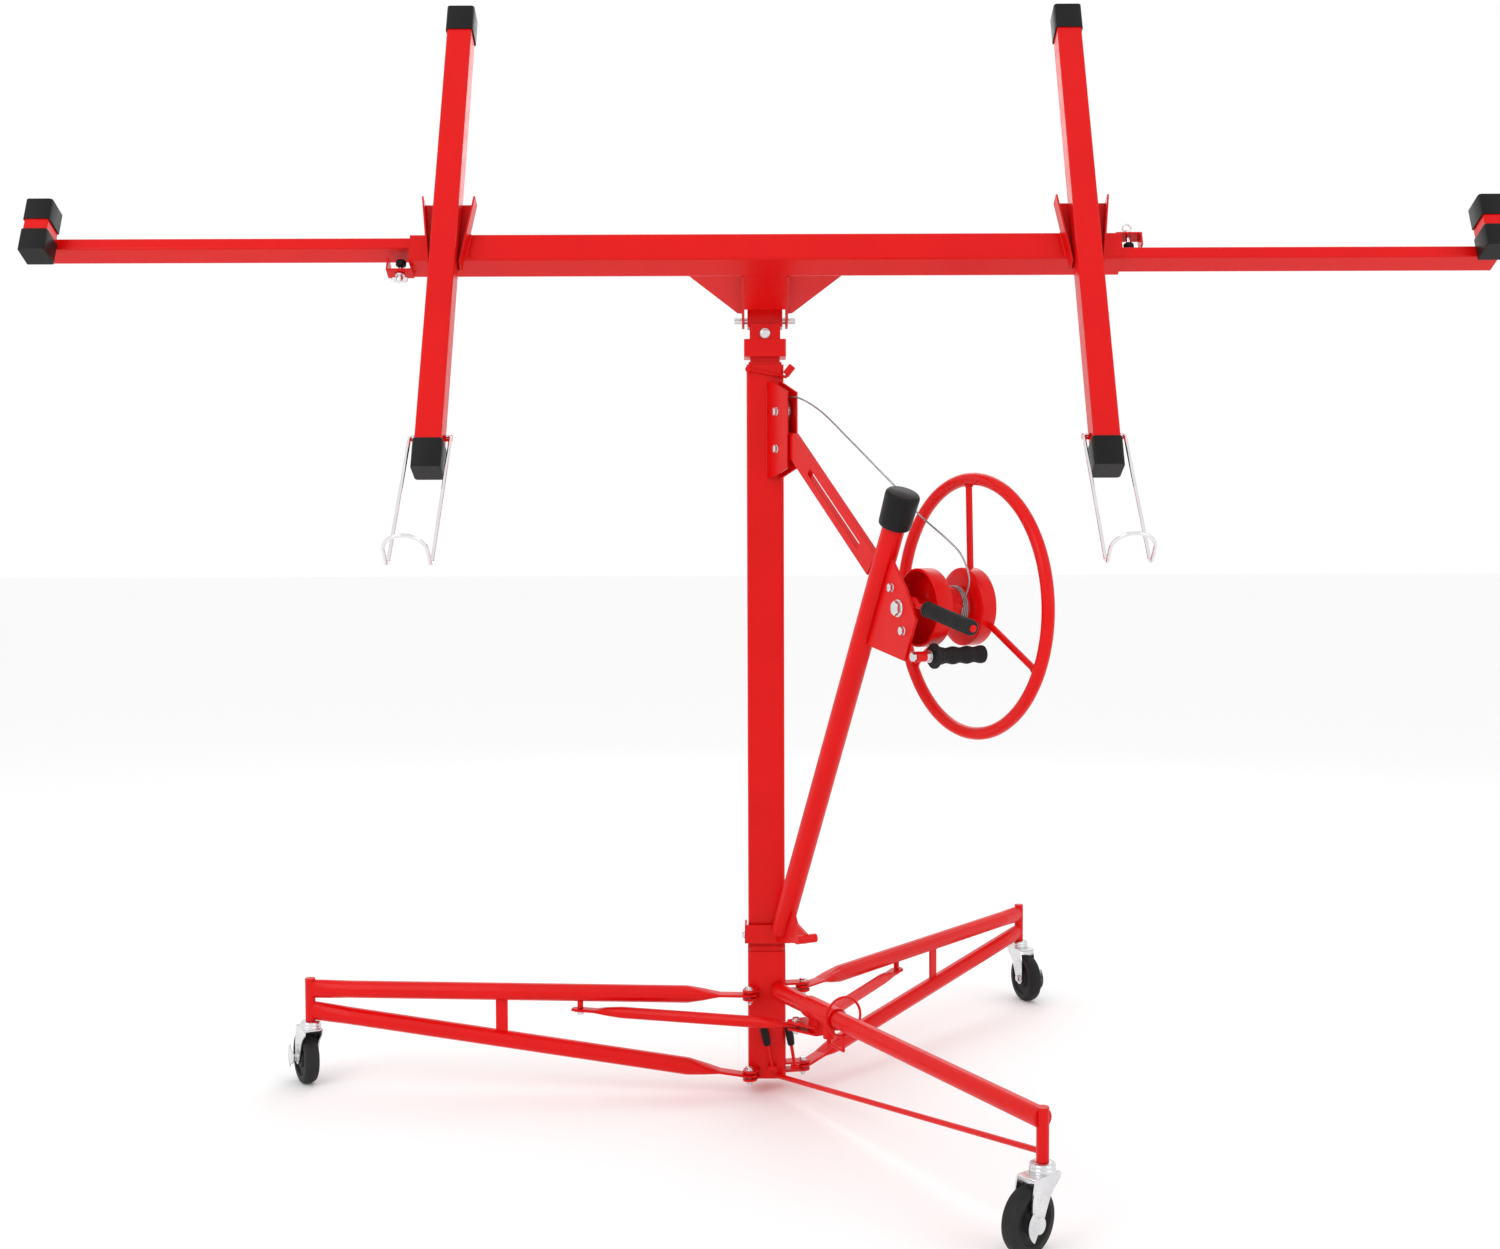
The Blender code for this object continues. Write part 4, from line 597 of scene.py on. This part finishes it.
# ---------------------------------------------------------------- latch levers
# Two enamelled rods that lock the legs' lower hinges, each with a black moulded grip.
for name, top in (("left", MAST + [-0.006, -0.0500, 0.124]), ("right", MAST + [0.040, -0.0420, 0.122])):
    foot = spot(f"{name}_latch_tilt")
    rise = (top - foot) / np.linalg.norm(top - foot)
    piece(f"{name}_latch_rod", [swept([foot, foot + rise * 0.03, foot + rise * 0.06], 0.0032, 20),
                                swept([foot - X * 0.008, foot, foot + X * 0.008], 0.0056, 24)], RED,
                                f"{name}_latch",
          [f"{name}_latch_lever"])
    length = np.linalg.norm(top - foot)
    profile = [(0, length - 0.034), (0.0058, length - 0.034), (0.0066, length - 0.032),
               (0.0074, length - 0.020),
               (0.0074, length - 0.003), (0.0062, length + 0.001), (0.0035, length + 0.0028),
               (0, length + 0.003)]
    piece(f"{name}_latch_grip", [turned(profile, foot, rise, 32)], PLASTIC, f"{name}_latch")

# ---------------------------------------------------------------- casters
# Solid rubber wheels with pressed zinc forks: a ball race under the stem, two folded cheeks, an axle
# bolt with nuts, and a crescent pedal that jams the tread.
TYRE = finish_of("black_wheel", (0.012, 0.012, 0.013), (0.030, 0.030, 0.030), (0.06, 0.055, 0.05),
                 (0.45, 0.65), (500.0, 0.00010), mottle=(18.0, 1.6), edge=(0.0012, 1.5), specular=0.13)
wheel_radius, wheel_half, trail = 0.050, 0.0135, 0.034


def plate(name, outline, thick, at, x_axis, y_axis, finish, body, replaces=(), round_over=0.0005):
    """Flat plate: a polygon in two directions from a point, thickened both ways, its edges rounded."""
    x_axis, y_axis = np.asarray(x_axis, float), np.asarray(y_axis, float)
    flat = np.asarray(at) + np.array(outline) @ np.array([x_axis, y_axis])
    normal = np.cross(x_axis, y_axis)
    count = len(flat)
    points = np.vstack([flat - normal * thick / 2, flat + normal * thick / 2])
    first = np.arange(count)
    after = (first + 1) % count
    faces = [first[::-1].tolist(), (first + count).tolist()]
    faces += np.stack([first, after, after + count, first + count], 1).tolist()
    mesh = bpy.data.meshes.new(name)
    mesh.from_pydata(points.tolist(), [], faces)
    close(mesh, 40)
    mesh.materials.append(finish)
    made = bpy.data.objects.new(name, mesh)
    bpy.context.scene.collection.objects.link(made)
    edge = made.modifiers.new("rounded edges", "BEVEL")
    edge.width, edge.segments, edge.angle_limit = round_over, 2, math.radians(40)
    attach(made, body)
    if replaces:
        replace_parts(made, *replaces)
    return made


def arc(radius, start, end, steps, centre=(0.0, 0.0)):
    """Points of a circle's arc between two angles in degrees."""
    turn = np.radians(np.linspace(start, end, steps))
    return [(centre[0] + radius * math.cos(t), centre[1] + radius * math.sin(t)) for t in turn]


for name in ("left", "right", "front"):
    centre, across = spot(f"{name}_wheel_roll"), way(f"{name}_wheel_roll")
    head = spot(f"{name}_caster_swivel") * [1, 1, 0]
    back = (centre - head) * [1, 1, 0] / trail
    tread = [(0.0056, -wheel_half), (0.0175, -wheel_half), (0.0190, -0.0120), (0.0205, -0.0088),
             (0.0335, -0.0088),
             (0.0350, -0.0120), (0.0365, -wheel_half), (0.0440, -wheel_half), (0.0470, -0.0120),
             (0.0490, -0.0090),
             (0.0500, -0.0040), (0.0500, 0.0040)]
    tread += [(radius, -height) for radius, height in reversed(tread[:-2])]
    grid, _, _ = turned(tread, centre, across, 96)
    piece(f"{name}_wheel_moulded", [(grid, True, True)], TYRE, f"{name}_wheel",
          [f"{name}_caster_wheel"])
    side_at = wheel_half + 0.0030
    top = head + UP * 0.1267
    race = [(0, -0.0150), (0.0180, -0.0150), (0.0196, -0.0140), (0.0200, -0.0120), (0.0198, -0.0085),
            (0.0190, -0.0075),
            (0.0194, -0.0065), (0.0186, -0.0020), (0.0170, -0.0006), (0.0120, 0.0), (0, 0)]
    shank = [(0, -0.003), (0.0057, -0.003), (0.0057, 0.038), (0.0045, 0.0403), (0, 0.0403)]
    grids = [turned(race, top, UP, 64), turned(shank, top, UP, 32)]
    for side in (-1, 1):
        end = centre + across * side * (side_at + 0.00125)
        grids += [washer(end, across * side, 0.0085),
                  hexagon(end + across * side * 0.0014, across * side, 0.0125, 0.0048)]
    grids.append(turned([(0, -side_at), (0.0050, -side_at), (0.0050, side_at), (0, side_at)], centre,
                        across, 24))
    piece(f"{name}_fork_race", grids, ZINC, f"{name}_swivel", [f"{name}_caster_fork"])
    crown = [(-0.019, -0.0177), (0.037, -0.0177), (0.039, -0.014), (0.039, 0.014), (0.037, 0.0177),
             (-0.019, 0.0177),
             (-0.021, 0.014), (-0.021, -0.014)]
    plate(f"{name}_fork_crown", crown, 0.003, top - UP * 0.0152, back, across, ZINC, f"{name}_swivel",
          (), 0.0009)
    cheek = [(-0.021, 0.0605), (-0.018, 0.0630), (0.036, 0.0630), (0.0395, 0.0595), (0.0455, 0.034),
             (0.0465, 0.026),
             (0.0462, 0.002), *arc(0.0125, 10, -95, 9, (0.0338, 0.0)), (0.0255, -0.009), (0.0205, -0.002),
             (0.013, 0.014),
             (0.004, 0.032), (-0.004, 0.041), (-0.014, 0.048), (-0.0195, 0.0535)]
    for label, side in (("inner", -1), ("outer", 1)):
        plate(f"{name}_fork_cheek_{label}", cheek, 0.0025,
              head + UP * wheel_radius + across * side * side_at, back, UP, ZINC, f"{name}_swivel",
              (), 0.0009)
    pedal_at = centre + across * (side_at + 0.0095)
    crescent = arc(0.026, -58, 58, 17) + arc(0.0125, 62, 298, 17)
    plate(f"{name}_brake_pedal_plate", [(x + 0.006, y) for x, y in crescent], 0.0022, pedal_at, back, UP,
          ZINC,
          f"{name}_brake", [f"{name}_caster_brake"], 0.0006)

# ---------------------------------------------------------------- panel hooks
# Bright plated spring wire, bent to a long loop: two legs hinged on the arm's flanks, turned out at
# the bottom into a rounded lip that carries the panel's edge. A small stop holds each leg forward.
CHROME = finish_of("bright_wire", (0.70, 0.70, 0.72), (0.84, 0.84, 0.86), (0.55, 0.55, 0.55),
                   (0.06, 0.16), (1200.0, 0.00002), metallic=1.0, mottle=(25.0, 1.2), edge=(0.0006, 1.0))
wire_radius, half_width, leg, lip_length, bend = 0.0030, 0.0335, 0.283, 0.072, 0.014
lean_angle = math.radians(17)
down = -ALONG * math.cos(lean_angle) + NORMAL * math.sin(lean_angle)
lip = NORMAL * math.cos(lean_angle) + ALONG * math.sin(lean_angle)
for name in ("left", "right"):
    pivot = spot(f"{name}_hook_swing")
    quarter = np.radians(np.linspace(0, 90, 9))[1:]
    flank = [pivot - X * 0.026, pivot - X * (half_width - 0.004),
             pivot - X * (half_width - 0.001) + down * 0.0015,
             pivot - X * half_width + down * 0.006, pivot - X * half_width + down * 0.1]
    flank += [pivot - X * half_width + down * (leg - bend + bend * math.sin(t)) + lip * bend * (1 - math.cos(t))
              for t in [0, *quarter]]
    mirrored = [point + X * 2 * (pivot[0] - point[0]) for point in reversed(flank)]
    half_turn = np.radians(np.linspace(0, 180, 33))
    arch = [pivot - X * half_width * math.cos(t) + down * leg + lip * (lip_length - half_width + half_width * math.sin(t))
            for t in half_turn]
    piece(f"{name}_hook_wire", [swept(np.array(flank + arch + mirrored), wire_radius, 18)], CHROME,
          f"{name}_hook",
          [f"{name}_panel_hook"], 70)
    stops = []
    for flank_x in (-1, 1):
        stop = pivot + X * flank_x * 0.0222 + ALONG * 0.004 - NORMAL * 0.013
        stops.append(turned([(0, 0), (0.0052, 0), (0.0052, 0.0105), (0.0045, 0.0115), (0, 0.0115)], stop,
                            X * flank_x, 24))
    piece(f"{name}_hook_stops", stops, RED, "cradle")

# ---------------------------------------------------------------- clamp screws
# Threaded zinc rods through the straps at the beam's mouths. Each has a black pad that presses the
# outrigger and a round nut on its strap. The left one is turned by two flat wings, the right by an eye.
for name, over in (("left", -1), ("right", 1)):
    head, axis = spot(f"{name}_clamp_turn"), ALONG * over
    grids = [turned([(0, -0.030), (0.0034, -0.030), (0.0040, -0.0290), (0.0040, -0.002), (0, -0.002)], head,
                    axis, 24),
             turned([(0, -0.0112), (0.0074, -0.0112), (0.0080, -0.0105), (0.0080, -0.0082),
                     (0.0074, -0.0075), (0, -0.0075)],
                    head, axis, 36),
             threaded(head - axis * 0.0078, axis, 0.0042, 0.0075)]
    pad = [(0, -0.0368), (0.0084, -0.0368), (0.0090, -0.0358), (0.0090, -0.0297), (0.0080, -0.0287),
           (0, -0.0285)]
    piece(f"{name}_clamp_pad", [turned(pad, head, axis, 36)], PLASTIC, f"{name}_clamp")
    if over < 0:
        hub = [(0, -0.005), (0.0058, -0.005), (0.0062, -0.003), (0.0060, 0.003), (0.0045, 0.0052),
               (0, 0.0055)]
        grids.append(turned(hub, head, axis, 32))
        wings = arc(0.0058, 80, -80, 9, (0.0090, 0.0)) + arc(0.0058, 260, 100, 9, (-0.0090, 0.0))
        plate("left_clamp_wings", wings, 0.0033, head, X, axis, CHROME, "left_clamp", (),
              0.0008)
    else:
        turn = np.linspace(0, 2 * math.pi, 49)
        eye = head + axis * 0.005 + 0.0075 * (np.cos(turn)[:, None] * X + np.sin(turn)[:, None] * axis)
        grids.append(swept(eye, 0.0019, 14))
    piece(f"{name}_clamp_stem", grids, CHROME, f"{name}_clamp", [f"{name}_clamp_screw"])

# ---------------------------------------------------------------- studio
# Plain pale floor, an even pale surround and three broad soft lamps.
ground = bpy.data.meshes.new("floor")
half = 40.0
ground.from_pydata([(-half, -half, 0), (half, -half, 0), (half, half, 0), (-half, half, 0)], [],
                   [(0, 1, 2, 3)])
floor = bpy.data.objects.new("floor", ground)
bpy.context.scene.collection.objects.link(floor)
pale = bpy.data.materials.new("pale_floor")
pale.use_nodes = True
pale.node_tree.nodes["Principled BSDF"].inputs["Base Color"].default_value = (0.95, 0.95, 0.95, 1)
pale.node_tree.nodes["Principled BSDF"].inputs["Roughness"].default_value = 0.7
ground.materials.append(pale)

world = bpy.data.worlds.new("studio")
world.use_nodes = True
world.node_tree.nodes["Background"].inputs["Color"].default_value = (1.0, 1.0, 1.0, 1)
world.node_tree.nodes["Background"].inputs["Strength"].default_value = 1.0
bpy.context.scene.world = world


def lamp(name, place, aim, size, power):
    """A square soft lamp at a place, facing a point."""
    light = bpy.data.lights.new(name, "AREA")
    light.size, light.energy = size, power
    made = bpy.data.objects.new(name, light)
    bpy.context.scene.collection.objects.link(made)
    made.location = place
    ahead = np.subtract(aim, place)
    made.rotation_euler = (math.atan2(math.hypot(ahead[0], ahead[1]), -ahead[2]), 0,
                           math.atan2(-ahead[0], ahead[1]))
    return made


lamp("key", (-3.2, -3.6, 3.6), (0, 0, 1.0), 2.4, 50)
lamp("fill", (3.6, -3.0, 2.4), (0, 0, 0.9), 2.6, 20)
lamp("rim", (0.5, 3.8, 3.2), (0, 0, 1.2), 2.2, 20)

# ---------------------------------------------------------------- camera
lens = bpy.data.cameras.new("camera")
lens.sensor_width, lens.lens = 36.0, 42.64
lens.shift_y = -0.0092
lens.clip_end = 100
camera = bpy.data.objects.new("camera", lens)
bpy.context.scene.collection.objects.link(camera)
camera.location = (-0.0285, -3.216, 1.0375)
camera.rotation_euler = (math.radians(90 - 2.498), math.radians(0.184), 0)
bpy.context.scene.camera = camera
bpy.context.scene.view_settings.view_transform = "Standard"
